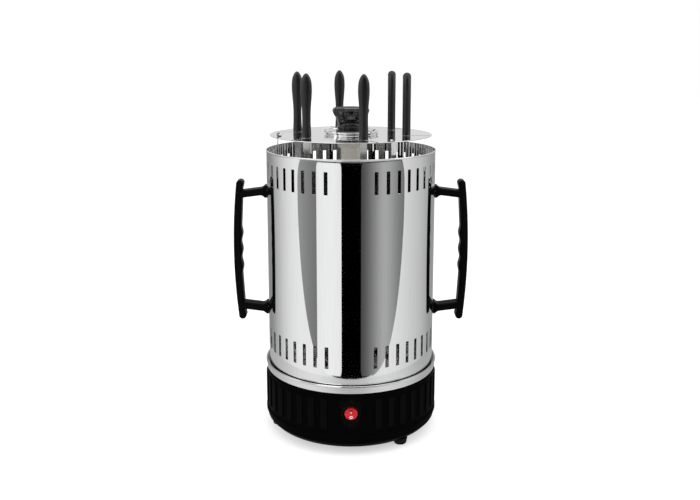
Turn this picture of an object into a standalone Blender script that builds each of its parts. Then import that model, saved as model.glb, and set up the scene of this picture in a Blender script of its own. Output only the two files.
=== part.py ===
"""An upright electric skewer grill: six hanging skewers turn round a heater inside a polished tube.

Lengths are in metres and +Z is up. The origin is on the table under the middle of the base, and the
switch faces -Y. An azimuth is in degrees, seen from above, from the front (-Y) towards +X.
"""

import math

import bmesh
import bpy
from mathutils import Matrix, Vector

# Clearances
GAP = 0.0003  # between pieces that rest on each other
RUNNING_GAP = 0.0006  # round a shaft that turns
MERGE = 0.00001  # welds the seam of a turned shape
OVERLAP = 0.001  # how far shapes that are joined run into each other

# How finely round pieces are faceted
HOUSING_FACETS = 48
WIDE_FACETS = 36
MIDDLE_FACETS = 24
CUP_FACETS = 14
HANDLE_FACETS = 12
SMALL_FACETS = 10

# Base, from the table up
FOOT_HEIGHT = 0.008
FOOT_RADIUS = 0.0084
FOOT_INSET = 0.013  # from the housing's outside in to a foot's middle
FOOT_AZIMUTHS = (40.0, 160.0, 280.0)
COVER_FLOOR = 0.0025
COVER_HEIGHT = 0.012
COVER_CORNER = 0.006
BASE_OVERHANG = 0.003  # how far the base stands out past the casing
BASE_LIP = 0.0015
BASE_LIP_HEIGHT = 0.004
HOUSING_HEIGHT = 0.0537
HOUSING_WALL = 0.0025
HOUSING_SHELF = 0.0025
TRAY_SHEET = 0.0012
TRAY_RIM_HEIGHT = 0.0085
TRAY_BEAD = 0.0011
TRAY_WELL_DEPTH = 0.0035
TRAY_STEP = 0.005  # from the casing's outside in to the tray's well

# Casing
CASING_RADIUS = 0.100
CASING_WALL = 0.0008
CASING_LENGTH = 0.2642
CASING_BEAD = 0.0006
CASING_FACETS = 45
SLOT_WIDTH = 0.0044
SLOT_LENGTH = 0.0255
SLOT_PITCH = 8.0
SLOTS_LEFT_OUT = 1  # on each side of the front, besides the front one
LOWER_SLOTS_UP = 0.0262  # from the casing's foot to the lower slots
UPPER_SLOTS_DOWN = 0.014  # from the casing's rim to the upper slots

# Carrying handles
HANDLE_REACH = 0.041
HANDLE_WIDTH = 0.018
HANDLE_EDGE = 0.002
GRIP_THICKNESS = 0.009
GRIP_BOW = 0.005
GRIP_PAST_ARM = 0.0140
SCALLOP_DEPTH = 0.0016
SCALLOP_PITCH = 0.020
SCALLOPS = 3
ARM_THICKNESS = 0.0087
ARM_DROOP = 0.003
PAD_HEIGHT = 0.015
PAD_THICKNESS = 0.0025
ARM_TO_UPPER_SLOTS = 0.0115
ARM_TO_LOWER_SLOTS = 0.0178

# Gear train
SKEWERS = 6
SKEWER_TO_CASING = 0.0317  # from a skewer's axis out to the casing's inside
FIRST_SKEWER_AZIMUTH = 12.0
CROSSWISE_SKEWERS = (1, 2)  # these rest with the blade edge-on to the front
CUP_TEETH = 18
DRIVE_TEETH = 54
PINION_TEETH = 10
GEAR_FACE = 0.006
GEAR_HEADROOM = 0.0013
TOOTH_ROOT_SHARE = 0.28
TOOTH_TIP_SHARE = 0.12
HUB_HEIGHT = 0.0035
SPINDLE_RADIUS = 0.0045
PIVOT_RADIUS = 0.0025
PIVOT_END = 0.001
MOTOR_AZIMUTH = FIRST_SKEWER_AZIMUTH + 150.0
MOTOR_RADIUS = 0.022
MOTOR_HEIGHT = 0.024
MOTOR_BOSS_WALL = 0.0015  # round the shaft
PLATE_THICKNESS = 0.002
PLATE_TO_SWITCH = 0.0015
PILLAR_RADIUS = 0.004
PILLAR_INSET = 0.0065

# Drip cups
CUP_TO_CASING = 0.0077
CUP_WALL = 0.001
CUP_HEIGHT = 0.013
CUP_HUB_WALL = 0.0027  # past the ends of the blade's slot
CUP_HUB_HEIGHT = 0.016
CUP_LIFT = 0.003  # from the tray's floor to the cup's floor
BLADE_SLOT_GAP = 0.0005

# Skewers
BLADE_WIDTH = 0.0076
BLADE_THICKNESS = 0.0012
BLADE_POINT = 0.012
BLADE_TANG = 0.020
SKEWER_HANDLE_LENGTH = 0.072
SKEWER_SWELL = 0.00115  # from the handle's foot to its widest part
SKEWER_LEDGE = 0.00055  # how far the handle's foot laps over its seat
SKEWER_HALF_DEPTH = 0.0048

# Top plate and knob
PLATE_RISE = 0.0165  # from the casing's rim to the plate
TOP_SHEET = 0.001
PLATE_TO_CASING = 0.0037
BOSS_RADIUS = 0.032
BOSS_RISE = 0.001
SEAT_CLEARANCE = 0.00095  # round the blade in its seat
ENTRY_WIDTH = 0.0028
ENTRY_SLANT = 17.5
KNOB_RADIUS = 0.0225
KNOB_WAIST = 0.0145
KNOB_FOOT = 0.01775
KNOB_HEIGHT = 0.0297
KNOB_BORE_DEPTH = 0.012
POST_TO_CASING = 0.0122
POST_WIDTH = 0.007
POST_SHEET = 0.0012
POST_TAB = 0.008
POST_AZIMUTHS = (273.0, 33.0, 153.0)

# Heater
STEM_RADIUS = 0.013
SOCKET_LEDGE = 0.0047  # from the socket's collar out to its flange
SOCKET_FLANGE_HEIGHT = 0.005
SOCKET_WALL = 0.0035
SOCKET_HEIGHT = 0.023
SOCKET_RECESS = 0.010
HEATER_TUBE_RADIUS = 0.0115
HEATER_TUBE_WALL = 0.0015
HEATER_CORE_RADIUS = 0.007
CAP_THICKNESS = 0.005
CAP_SKIRT = 0.006
CAP_HEADROOM = 0.004

# Switch, terminal block, gland and screws
SWITCH_UP = 0.0314  # from the housing's foot to the switch's middle
BEZEL_LEDGE = 0.00105  # from the barrel out to the bezel's edge
BEZEL_THICKNESS = 0.0012
BARREL_RADIUS = 0.0107
BARREL_DEPTH = 0.013
BARREL_WALL = 0.0021
BARREL_FLOOR = 0.003
ROCKER_CLEARANCE = 0.0009  # round the rocker in its barrel
ROCKER_PIVOT_DEPTH = 0.0015
ROCKER_RISE = 0.0014
ROCKER_SLOPE = 0.00142
ROCKER_BACK = 0.005
TERMINAL_SIZE = (0.030, 0.014, 0.014)
TERMINAL_CIRCLE = 0.055
TERMINAL_AZIMUTH = 80.0
GLAND_UP = 0.0105
GLAND_RADIUS = 0.0046
GLAND_NECK = 0.0036
GLAND_HOLE = 0.0022
GLAND_LENGTH = 0.013
GLAND_FLANGE = 0.0008
SCREW_SHANK = 0.0015
SCREW_HEAD = 0.0032
SCREW_HEAD_THICKNESS = 0.0019
SCREW_BITE = 0.010
KNOB_SCREW_SHANK = 0.002
KNOB_SCREW_HEAD = 0.004

# Heights that follow from the sizes above
COVER_TOP = FOOT_HEIGHT + COVER_HEIGHT
COVER_FLOOR_TOP = FOOT_HEIGHT + COVER_FLOOR
HOUSING_FOOT = COVER_TOP + GAP
HOUSING_TOP = HOUSING_FOOT + HOUSING_HEIGHT
TRAY_SHELF = HOUSING_TOP + GAP + TRAY_SHEET
TRAY_TOP = TRAY_SHELF + TRAY_RIM_HEIGHT
TRAY_FLOOR = TRAY_SHELF - TRAY_WELL_DEPTH
CASING_FOOT = TRAY_SHELF + GAP
CASING_TOP = CASING_FOOT + CASING_LENGTH
PLATE_UNDERSIDE = CASING_TOP + PLATE_RISE
PLATE_TOP = PLATE_UNDERSIDE + TOP_SHEET
GEAR_TOP = TRAY_FLOOR - TRAY_SHEET - GEAR_HEADROOM
GEAR_FOOT = GEAR_TOP - GEAR_FACE
CHASSIS_TOP = GEAR_FOOT - HUB_HEIGHT
CHASSIS_UNDERSIDE = CHASSIS_TOP - PLATE_THICKNESS
CUP_FLOOR_UNDERSIDE = TRAY_FLOOR + CUP_LIFT
CUP_FLOOR_TOP = CUP_FLOOR_UNDERSIDE + CUP_WALL
CUP_HUB_TOP = CUP_FLOOR_UNDERSIDE + CUP_HUB_HEIGHT
BLADE_SLOT_FOOT = CUP_FLOOR_UNDERSIDE + CUP_HUB_HEIGHT / 2
SPINDLE_TOP = BLADE_SLOT_FOOT - 0.002
CAP_TOP = PLATE_UNDERSIDE - CAP_HEADROOM
SOCKET_TOP = TRAY_FLOOR + SOCKET_HEIGHT
SWITCH_HEIGHT = HOUSING_FOOT + SWITCH_UP
UPPER_SLOTS = CASING_TOP - UPPER_SLOTS_DOWN - SLOT_LENGTH / 2
LOWER_SLOTS = CASING_FOOT + LOWER_SLOTS_UP + SLOT_LENGTH / 2
UPPER_ARM = UPPER_SLOTS - SLOT_LENGTH / 2 - ARM_TO_UPPER_SLOTS
LOWER_ARM = LOWER_SLOTS + SLOT_LENGTH / 2 + ARM_TO_LOWER_SLOTS

# Radii that follow from the sizes above
CASING_BORE = CASING_RADIUS - CASING_WALL
HOUSING_RADIUS = CASING_RADIUS + BASE_OVERHANG
HOUSING_BORE = HOUSING_RADIUS - HOUSING_WALL
TRAY_WELL = CASING_RADIUS - TRAY_STEP
TOP_PLATE_RADIUS = CASING_BORE - PLATE_TO_CASING
SKEWER_CIRCLE = CASING_BORE - SKEWER_TO_CASING
GEAR_MODULE = 2 * SKEWER_CIRCLE / (CUP_TEETH + DRIVE_TEETH)
PINION_CIRCLE = GEAR_MODULE * (DRIVE_TEETH + PINION_TEETH) / 2
CHASSIS_RADIUS = HOUSING_RADIUS - BARREL_DEPTH - PLATE_TO_SWITCH
PILLAR_CIRCLE = CHASSIS_RADIUS - PILLAR_INSET
CUP_RADIUS = SKEWER_TO_CASING - CUP_TO_CASING
SOCKET_RECESS_RADIUS = HEATER_TUBE_RADIUS + GAP
SCREW_HOLE = SCREW_SHANK + GAP
KNOB_HOLE = KNOB_SCREW_SHANK + GAP
FOOT_CIRCLE = HOUSING_RADIUS - FOOT_INSET
MOTOR_BOSS = SPINDLE_RADIUS + MOTOR_BOSS_WALL
CUP_HUB_RADIUS = BLADE_WIDTH / 2 + BLADE_SLOT_GAP + CUP_HUB_WALL
SEAT_RADIUS = BLADE_WIDTH / 2 + SEAT_CLEARANCE
SKEWER_FOOT_RADIUS = SEAT_RADIUS + SKEWER_LEDGE
SKEWER_HANDLE_RADIUS = SKEWER_FOOT_RADIUS + SKEWER_SWELL
SOCKET_FLANGE = SOCKET_RECESS_RADIUS + SOCKET_WALL + SOCKET_LEDGE
BEZEL_RADIUS = BARREL_RADIUS + BEZEL_LEDGE
ROCKER_RADIUS = BARREL_RADIUS - BARREL_WALL - ROCKER_CLEARANCE
ROCKER_TILT = math.atan(ROCKER_SLOPE / ROCKER_RADIUS)

STEEL = ((0.78, 0.78, 0.77), 0.12, 1.0)
ZINC = ((0.62, 0.63, 0.64), 0.35, 1.0)
BLACK = ((0.012, 0.012, 0.013), 0.32, 0.0)
RUBBER = ((0.02, 0.02, 0.02), 0.75, 0.0)
CERAMIC = ((0.86, 0.82, 0.74), 0.4, 0.0)
RED = ((0.62, 0.03, 0.02), 0.25, 0.0)
NYLON = ((0.82, 0.80, 0.74), 0.45, 0.0)

PIECES = bpy.data.collections.new("skewer_grill")
CUTTERS = bpy.data.collections.new("cutters")


# --- placing and dressing ---


def polar(radius, azimuth, height=0.0):
    angle = math.radians(azimuth)
    return Vector((radius * math.sin(angle), -radius * math.cos(angle), height))


def turn_to(azimuth):
    """The rotation about Z that points a piece's own +X towards an azimuth."""
    return math.radians(azimuth - 90)


def skewer_azimuth(index):
    return FIRST_SKEWER_AZIMUTH + index * 360 / SKEWERS


def finish_material(name, finish):
    colour, roughness, metallic = finish
    made = bpy.data.materials.new(name + "_finish")
    made.use_nodes = True
    shader = made.node_tree.nodes["Principled BSDF"]
    shader.inputs["Base Color"].default_value = (*colour, 1.0)
    shader.inputs["Roughness"].default_value = roughness
    shader.inputs["Metallic"].default_value = metallic
    return made


def link(name, data, finish=None, collection=PIECES):
    made = bpy.data.objects.new(name, data)
    collection.objects.link(made)
    if finish:
        data.materials.append(finish_material(name, finish))
    return made


def settle(piece, sharp=35.0):
    """Turns the piece's modifiers into its mesh, and shades it smooth up to its sharp edges."""
    bpy.context.view_layer.update()
    graph = bpy.context.evaluated_depsgraph_get()
    mesh = bpy.data.meshes.new_from_object(piece.evaluated_get(graph))
    mesh.shade_smooth()
    mesh.set_sharp_from_angle(angle=math.radians(sharp))
    piece.modifiers.clear()
    piece.data = mesh
    return piece


def copies(piece, count, place):
    """Names the piece NAME_1 and adds its copies, which share its mesh."""
    name = piece.name
    for index in range(count):
        made = piece if index == 0 else link("copy", piece.data)
        made.name = f"{name}_{index + 1}"
        place(made, index)


def axis_empty(name, place):
    made = bpy.data.objects.new(name, None)
    made.empty_display_size = 0.02
    made.location = place
    PIECES.objects.link(made)
    return made


# --- shapes ---


def turned(name, profile, steps, finish=None, collection=PIECES):
    """A profile of (radius, height) points turned about Z, running down its outer side.

    It is closed by the axis if both its ends lie there, and else by an edge between its ends.
    """
    mesh = bpy.data.meshes.new(name)
    last = len(profile) - 1
    edges = [(i, i + 1) for i in range(last)]
    if profile[0][0] > 0:
        edges.append((last, 0))
    mesh.from_pydata([(radius, 0.0, height) for radius, height in profile], edges, [])
    made = link(name, mesh, finish, collection)
    screw = made.modifiers.new("Turn", "SCREW")
    screw.steps = steps
    screw.render_steps = steps
    screw.use_merge_vertices = True
    screw.merge_threshold = MERGE
    return made


def slab(name, outlines, thickness, finish=None, edge=0.0, collection=PIECES):
    """A flat outline in XY, with any holes as further outlines, of a thickness centred on z = 0."""
    curve = bpy.data.curves.new(name, "CURVE")
    curve.dimensions = "2D"
    curve.fill_mode = "BOTH"
    curve.extrude = thickness / 2 - edge
    curve.bevel_depth = edge
    curve.bevel_resolution = 0
    curve.offset = -edge
    for outline in outlines:
        spline = curve.splines.new("POLY")
        spline.points.add(len(outline) - 1)
        for point, (x, y) in zip(spline.points, outline):
            point.co = (x, y, 0.0, 1.0)
        spline.use_cyclic_u = True
    guide = link(name + "_outline", curve, None, CUTTERS)
    bpy.context.view_layer.update()
    graph = bpy.context.evaluated_depsgraph_get()
    mesh = bpy.data.meshes.new_from_object(guide.evaluated_get(graph))
    bpy.data.objects.remove(guide)
    welded = bmesh.new()
    welded.from_mesh(mesh)
    bmesh.ops.remove_doubles(welded, verts=welded.verts, dist=MERGE / 10)
    bmesh.ops.recalc_face_normals(welded, faces=welded.faces)
    welded.to_mesh(mesh)
    welded.free()
    return link(name, mesh, finish, collection)


def box_mesh(name, places):
    """Boxes in one mesh, each a size and the matrix that places it."""
    mesh = bpy.data.meshes.new(name)
    boxes = bmesh.new()
    for size, matrix in places:
        bmesh.ops.create_cube(boxes, size=1.0, matrix=matrix @ Matrix.Diagonal((*size, 1.0)))
    boxes.to_mesh(mesh)
    boxes.free()
    return mesh


def box(name, size, centre, finish=None, collection=PIECES):
    return link(name, box_mesh(name, [(size, Matrix.Translation(centre))]), finish, collection)


def rods(name, radius, length, matrices, facets=SMALL_FACETS):
    """Cutting rods centred on their matrices, along each one's own Z."""
    mesh = bpy.data.meshes.new(name)
    made = bmesh.new()
    for matrix in matrices:
        bmesh.ops.create_cone(
            made,
            cap_ends=True,
            segments=facets,
            radius1=radius,
            radius2=radius,
            depth=length,
            matrix=matrix,
        )
    made.to_mesh(mesh)
    made.free()
    return link(name, mesh, None, CUTTERS)


def combine(piece, other, operation):
    """Cuts, joins or intersects the piece with another object, which stays as a hidden guide."""
    step = piece.modifiers.new(other.name, "BOOLEAN")
    step.operation = operation
    step.object = other
    step.solver = "EXACT"
    if other.name not in CUTTERS.objects:
        PIECES.objects.unlink(other)
        CUTTERS.objects.link(other)
    other.hide_render = True
    other.display_type = "WIRE"
    return piece


def cut(piece, cutter):
    return combine(piece, cutter, "DIFFERENCE")


def join(piece, other):
    return combine(piece, other, "UNION")


def screw_piece(name, shank, head, length, finish):
    """A screw along +Z whose head hangs below z = 0."""
    profile = [
        (0.0, length),
        (shank, length),
        (shank, 0.0),
        (head, 0.0),
        (head * 0.8, -SCREW_HEAD_THICKNESS),
        (0.0, -SCREW_HEAD_THICKNESS),
    ]
    return settle(turned(name, profile, SMALL_FACETS, finish))


def gear_outline(teeth):
    """The outline of a spur gear with straight-sided teeth, one of them centred on +X."""
    root = GEAR_MODULE * (teeth / 2 - 1.25)
    tip = GEAR_MODULE * (teeth / 2 + 1)
    corners = (
        (root, -TOOTH_ROOT_SHARE),
        (tip, -TOOTH_TIP_SHARE),
        (tip, TOOTH_TIP_SHARE),
        (root, TOOTH_ROOT_SHARE),
    )
    outline = []
    for tooth in range(teeth):
        for radius, share in corners:
            angle = 2 * math.pi * (tooth + share) / teeth
            outline.append((radius * math.cos(angle), radius * math.sin(angle)))
    return outline


def toothed_disc(name, teeth, finish):
    made = slab(name, [gear_outline(teeth)], GEAR_FACE, finish)
    made.data.transform(Matrix.Translation((0, 0, (GEAR_FOOT + GEAR_TOP) / 2)))
    return made


# --- base ---


def make_feet():
    profile = [
        (0.0, FOOT_HEIGHT - GAP),
        (FOOT_RADIUS, FOOT_HEIGHT - GAP),
        (FOOT_RADIUS, FOOT_HEIGHT * 0.7),
        (FOOT_RADIUS * 0.88, FOOT_HEIGHT * 0.1),
        (FOOT_RADIUS * 0.8, 0.0),
        (0.0, 0.0),
    ]

    def place(foot, index):
        foot.location = polar(FOOT_CIRCLE, FOOT_AZIMUTHS[index])

    copies(settle(turned("foot", profile, CUP_FACETS, RUBBER)), len(FOOT_AZIMUTHS), place)


def pillar_azimuths():
    return [azimuth + 60 for azimuth in FOOT_AZIMUTHS]


def make_bottom_cover():
    outer = HOUSING_RADIUS
    profile = [
        (0.0, COVER_FLOOR_TOP),
        (outer - COVER_CORNER, COVER_FLOOR_TOP),
        (HOUSING_BORE, COVER_FLOOR_TOP + COVER_CORNER / 2),
        (HOUSING_BORE, COVER_TOP),
        (outer, COVER_TOP),
        (outer, FOOT_HEIGHT + COVER_CORNER),
        (outer - COVER_CORNER * 0.3, FOOT_HEIGHT + COVER_CORNER * 0.3),
        (outer - COVER_CORNER, FOOT_HEIGHT),
        (0.0, FOOT_HEIGHT),
    ]
    cover = turned("bottom_cover", profile, WIDE_FACETS, BLACK)
    places = [
        Matrix.Translation(polar(PILLAR_CIRCLE, azimuth, FOOT_HEIGHT))
        for azimuth in pillar_azimuths()
    ]
    settle(cut(cover, rods("cover_screw_holes", SCREW_HOLE, 4 * COVER_FLOOR, places)))


def make_cover_screws():
    screw = screw_piece(
        "cover_screw", SCREW_SHANK, SCREW_HEAD, COVER_FLOOR + SCREW_BITE, ZINC
    )

    def place(made, index):
        made.location = polar(PILLAR_CIRCLE, pillar_azimuths()[index], FOOT_HEIGHT - GAP)

    copies(screw, len(FOOT_AZIMUTHS), place)


def make_base_housing():
    shelf_bore = TRAY_WELL + TRAY_SHEET + RUNNING_GAP
    profile = [
        (HOUSING_RADIUS - HOUSING_WALL / 3, HOUSING_TOP),
        (HOUSING_RADIUS, HOUSING_TOP - HOUSING_WALL / 3),
        (HOUSING_RADIUS, HOUSING_FOOT + BASE_LIP_HEIGHT + BASE_LIP),
        (HOUSING_RADIUS + BASE_LIP, HOUSING_FOOT + BASE_LIP_HEIGHT),
        (HOUSING_RADIUS + BASE_LIP, HOUSING_FOOT),
        (HOUSING_BORE, HOUSING_FOOT),
        (HOUSING_BORE, HOUSING_TOP - HOUSING_SHELF),
        (shelf_bore, HOUSING_TOP - HOUSING_SHELF),
        (shelf_bore, HOUSING_TOP),
    ]
    housing = turned("base_housing", profile, HOUSING_FACETS, BLACK)
    front = Matrix.Translation((0, -HOUSING_RADIUS, SWITCH_HEIGHT)) @ Matrix.Rotation(
        math.pi / 2, 4, "X"
    )
    back = Matrix.Translation((0, HOUSING_RADIUS, HOUSING_FOOT + GLAND_UP)) @ Matrix.Rotation(
        math.pi / 2, 4, "X"
    )
    reach = 6 * HOUSING_WALL
    cut(housing, rods("switch_hole", BARREL_RADIUS + GAP, reach, [front], MIDDLE_FACETS))
    cut(housing, rods("gland_hole", GLAND_NECK + GAP, reach, [back]))
    settle(housing)


def make_switch():
    """The switch body and its rocker, built along +Z and then turned to face the front."""
    cavity = BARREL_RADIUS - BARREL_WALL
    profile = [
        (0.0, -BARREL_DEPTH + BARREL_FLOOR),
        (cavity, -BARREL_DEPTH + BARREL_FLOOR),
        (cavity, BEZEL_THICKNESS + GAP),
        (BEZEL_RADIUS, BEZEL_THICKNESS + GAP),
        (BEZEL_RADIUS, GAP),
        (BARREL_RADIUS, GAP),
        (BARREL_RADIUS, -BARREL_DEPTH),
        (0.0, -BARREL_DEPTH),
    ]
    body = settle(turned("switch_body", profile, MIDDLE_FACETS, BLACK))
    body.location = (0, -HOUSING_RADIUS, SWITCH_HEIGHT)
    body.rotation_euler = (math.pi / 2, 0, 0)
    rocker = settle(make_rocker_shape())
    pivot = axis_empty(
        "switch_pivot", (0, -HOUSING_RADIUS + ROCKER_PIVOT_DEPTH, SWITCH_HEIGHT)
    )
    rocker.parent = pivot
    rocker.rotation_euler = (ROCKER_TILT, 0, 0)


def make_rocker_shape():
    """A round rocker with a shallow V face towards -Y, about its pivot along X."""
    front = ROCKER_RISE + ROCKER_SLOPE
    outline = [(-front, -ROCKER_RADIUS - OVERLAP), (-ROCKER_RISE, 0.0)]
    outline.append((-front, ROCKER_RADIUS + OVERLAP))
    for step in range(7):
        angle = math.pi * step / 6
        outline.append(
            (ROCKER_BACK * math.sin(angle), (ROCKER_RADIUS + OVERLAP) * math.cos(angle))
        )
    rocker = slab("switch_rocker", [outline], 4 * ROCKER_RADIUS, RED)
    upright = Matrix.Rotation(math.pi / 2, 4, "Y") @ Matrix.Rotation(math.pi / 2, 4, "Z")
    rocker.data.transform(upright)
    round_face = rods(
        "rocker_round",
        ROCKER_RADIUS,
        6 * ROCKER_RADIUS,
        [Matrix.Rotation(math.pi / 2, 4, "X")],
        MIDDLE_FACETS,
    )
    return combine(rocker, round_face, "INTERSECT")


def make_cord_gland():
    outside = HOUSING_RADIUS + GAP
    inside = HOUSING_BORE - 2 * GAP
    profile = [
        (GLAND_HOLE, outside + GLAND_FLANGE),
        (GLAND_RADIUS, outside + GLAND_FLANGE),
        (GLAND_RADIUS, outside),
        (GLAND_NECK, outside),
        (GLAND_NECK, inside - 0.002),
        (GLAND_NECK, outside - GLAND_LENGTH),
        (GLAND_HOLE, outside - GLAND_LENGTH),
    ]
    gland = settle(turned("cord_gland", profile, HANDLE_FACETS, RUBBER))
    gland.location = (0, 0, HOUSING_FOOT + GLAND_UP)
    gland.rotation_euler = (-math.pi / 2, 0, 0)


# --- gear train ---


def make_chassis_plate():
    centre = (CHASSIS_TOP + CHASSIS_UNDERSIDE) / 2
    profile = [
        (MOTOR_BOSS, CHASSIS_TOP),
        (CHASSIS_RADIUS, CHASSIS_TOP),
        (CHASSIS_RADIUS, CHASSIS_UNDERSIDE),
        (MOTOR_BOSS, CHASSIS_UNDERSIDE),
    ]
    plate = turned("chassis_plate", profile, MIDDLE_FACETS, ZINC)
    foot = COVER_FLOOR_TOP + GAP
    length = CHASSIS_UNDERSIDE + OVERLAP - foot
    pillars = [
        Matrix.Translation(polar(PILLAR_CIRCLE, azimuth, foot + length / 2))
        for azimuth in pillar_azimuths()
    ]
    join(plate, rods("pillars", PILLAR_RADIUS, length, pillars))
    bores = [
        Matrix.Translation(polar(PILLAR_CIRCLE, azimuth, foot))
        for azimuth in pillar_azimuths()
    ]
    cut(plate, rods("pillar_bores", SCREW_HOLE, 2 * (SCREW_BITE + GAP), bores))
    pivots = [
        Matrix.Translation(polar(SKEWER_CIRCLE, skewer_azimuth(index), centre))
        for index in range(SKEWERS)
    ]
    cut(plate, rods("pivot_holes", PIVOT_RADIUS + RUNNING_GAP, 0.02, pivots))
    shaft = Matrix.Translation(polar(PINION_CIRCLE, MOTOR_AZIMUTH, centre))
    cut(plate, rods("shaft_hole", SPINDLE_RADIUS + RUNNING_GAP, 0.02, [shaft]))
    settle(plate)


def make_motor():
    top = CHASSIS_UNDERSIDE - GAP
    boss_top = top - 0.0015
    profile = [
        (0.0, boss_top + 0.0012),
        (MOTOR_BOSS, boss_top + 0.0012),
        (MOTOR_BOSS, boss_top),
        (MOTOR_RADIUS, boss_top),
        (MOTOR_RADIUS, top - MOTOR_HEIGHT),
        (0.0, top - MOTOR_HEIGHT),
    ]
    motor = turned("motor_body", profile, MIDDLE_FACETS, ZINC)
    ears = box(
        "motor_ears",
        (2.8 * MOTOR_RADIUS, MOTOR_BOSS * 1.6, 0.002),
        (0, 0, top - 0.001),
    )
    join(motor, ears)
    notch = rods(
        "motor_shaft_well",
        SPINDLE_RADIUS + RUNNING_GAP,
        0.004,
        [Matrix.Translation((0, 0, top))],
    )
    settle(cut(motor, notch))
    motor.location = polar(PINION_CIRCLE, MOTOR_AZIMUTH)
    motor.rotation_euler.z = turn_to(MOTOR_AZIMUTH + 90)


def make_pinion():
    """The motor's pinion on its shaft, with a tooth pointing at the drive gear."""
    disc = toothed_disc("motor_pinion", PINION_TEETH, ZINC)
    profile = [
        (0.0, GEAR_FOOT + OVERLAP),
        (SPINDLE_RADIUS, GEAR_FOOT + OVERLAP),
        (SPINDLE_RADIUS, CHASSIS_UNDERSIDE),
        (0.0, CHASSIS_UNDERSIDE),
    ]
    join(disc, turned("pinion_shaft", profile, SMALL_FACETS))
    settle(disc)
    disc.parent = axis_empty("pinion_axis", polar(PINION_CIRCLE, MOTOR_AZIMUTH))
    disc.rotation_euler.z = turn_to(MOTOR_AZIMUTH + 180)


def make_drive_gear():
    """The large gear round the heater's stem, with a tooth pointing at each cup gear."""
    gear = toothed_disc("drive_gear", DRIVE_TEETH, NYLON)
    hub = [
        (0.0, GEAR_FOOT + OVERLAP),
        (STEM_RADIUS + 0.006, GEAR_FOOT + OVERLAP),
        (STEM_RADIUS + 0.006, CHASSIS_TOP + GAP),
        (0.0, CHASSIS_TOP + GAP),
    ]
    join(gear, turned("drive_hub", hub, MIDDLE_FACETS))
    cut(gear, rods("drive_bore", STEM_RADIUS + RUNNING_GAP, 0.4, [Matrix.Identity(4)], MIDDLE_FACETS))
    settle(gear)
    gear.parent = axis_empty("drive_axis", (0, 0, 0))
    gear.rotation_euler.z = turn_to(FIRST_SKEWER_AZIMUTH)


def cup_gear_shape():
    gear = toothed_disc("cup_gear", CUP_TEETH, NYLON)
    middle = (GEAR_FOOT + GEAR_TOP) / 2
    hub = SPINDLE_RADIUS + 0.002
    profile = [
        (0.0, SPINDLE_TOP),
        (SPINDLE_RADIUS, SPINDLE_TOP),
        (SPINDLE_RADIUS, middle),
        (hub, middle),
        (hub, CHASSIS_TOP + GAP),
        (PIVOT_RADIUS, CHASSIS_TOP + GAP),
        (PIVOT_RADIUS, CHASSIS_UNDERSIDE - PIVOT_END),
        (0.0, CHASSIS_UNDERSIDE - PIVOT_END),
    ]
    return settle(join(gear, turned("cup_spindle", profile, SMALL_FACETS)))


def drip_cup_shape():
    """A dish on a hub: the hub's bore fits the spindle, and its slot holds the blade's tip."""
    bore = SPINDLE_RADIUS + GAP
    profile = [
        (0.0, CUP_HUB_TOP),
        (CUP_HUB_RADIUS, CUP_HUB_TOP),
        (CUP_HUB_RADIUS, CUP_FLOOR_TOP),
        (CUP_RADIUS - 3 * CUP_WALL, CUP_FLOOR_TOP),
        (CUP_RADIUS - CUP_WALL, CUP_FLOOR_UNDERSIDE + CUP_HEIGHT),
        (CUP_RADIUS, CUP_FLOOR_UNDERSIDE + CUP_HEIGHT),
        (CUP_RADIUS - 2 * CUP_WALL, CUP_FLOOR_UNDERSIDE),
        (CUP_HUB_RADIUS, CUP_FLOOR_UNDERSIDE),
        (CUP_HUB_RADIUS, TRAY_FLOOR + CUP_LIFT / 3),
        (bore, TRAY_FLOOR + CUP_LIFT / 3),
        (bore, SPINDLE_TOP + GAP),
        (0.0, SPINDLE_TOP + GAP),
    ]
    cup = turned("drip_cup", profile, CUP_FACETS, STEEL)
    size = (
        BLADE_WIDTH + 2 * BLADE_SLOT_GAP,
        BLADE_THICKNESS + 2 * BLADE_SLOT_GAP,
        CUP_HUB_HEIGHT,
    )
    centre = (0, 0, BLADE_SLOT_FOOT + CUP_HUB_HEIGHT / 2)
    return settle(cut(cup, box("blade_slot", size, centre, None, CUTTERS)))


def blade_shape():
    foot = BLADE_SLOT_FOOT + GAP
    top = PLATE_TOP + GAP + BLADE_TANG
    half = BLADE_WIDTH / 2
    outline = [
        (0.0, foot),
        (half, foot + BLADE_POINT),
        (half, top),
        (-half, top),
        (-half, foot + BLADE_POINT),
    ]
    blade = slab("skewer_blade", [outline], BLADE_THICKNESS, STEEL)
    blade.data.transform(Matrix.Rotation(math.pi / 2, 4, "X"))
    return settle(blade)


def half_depth(height):
    """Half the depth of a skewer's handle at a height above its foot; its top end is round."""
    below_top = SKEWER_HANDLE_LENGTH - height
    if below_top >= SKEWER_HALF_DEPTH:
        return SKEWER_HALF_DEPTH
    return math.sqrt(max(below_top * (2 * SKEWER_HALF_DEPTH - below_top), 0.0))


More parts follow.
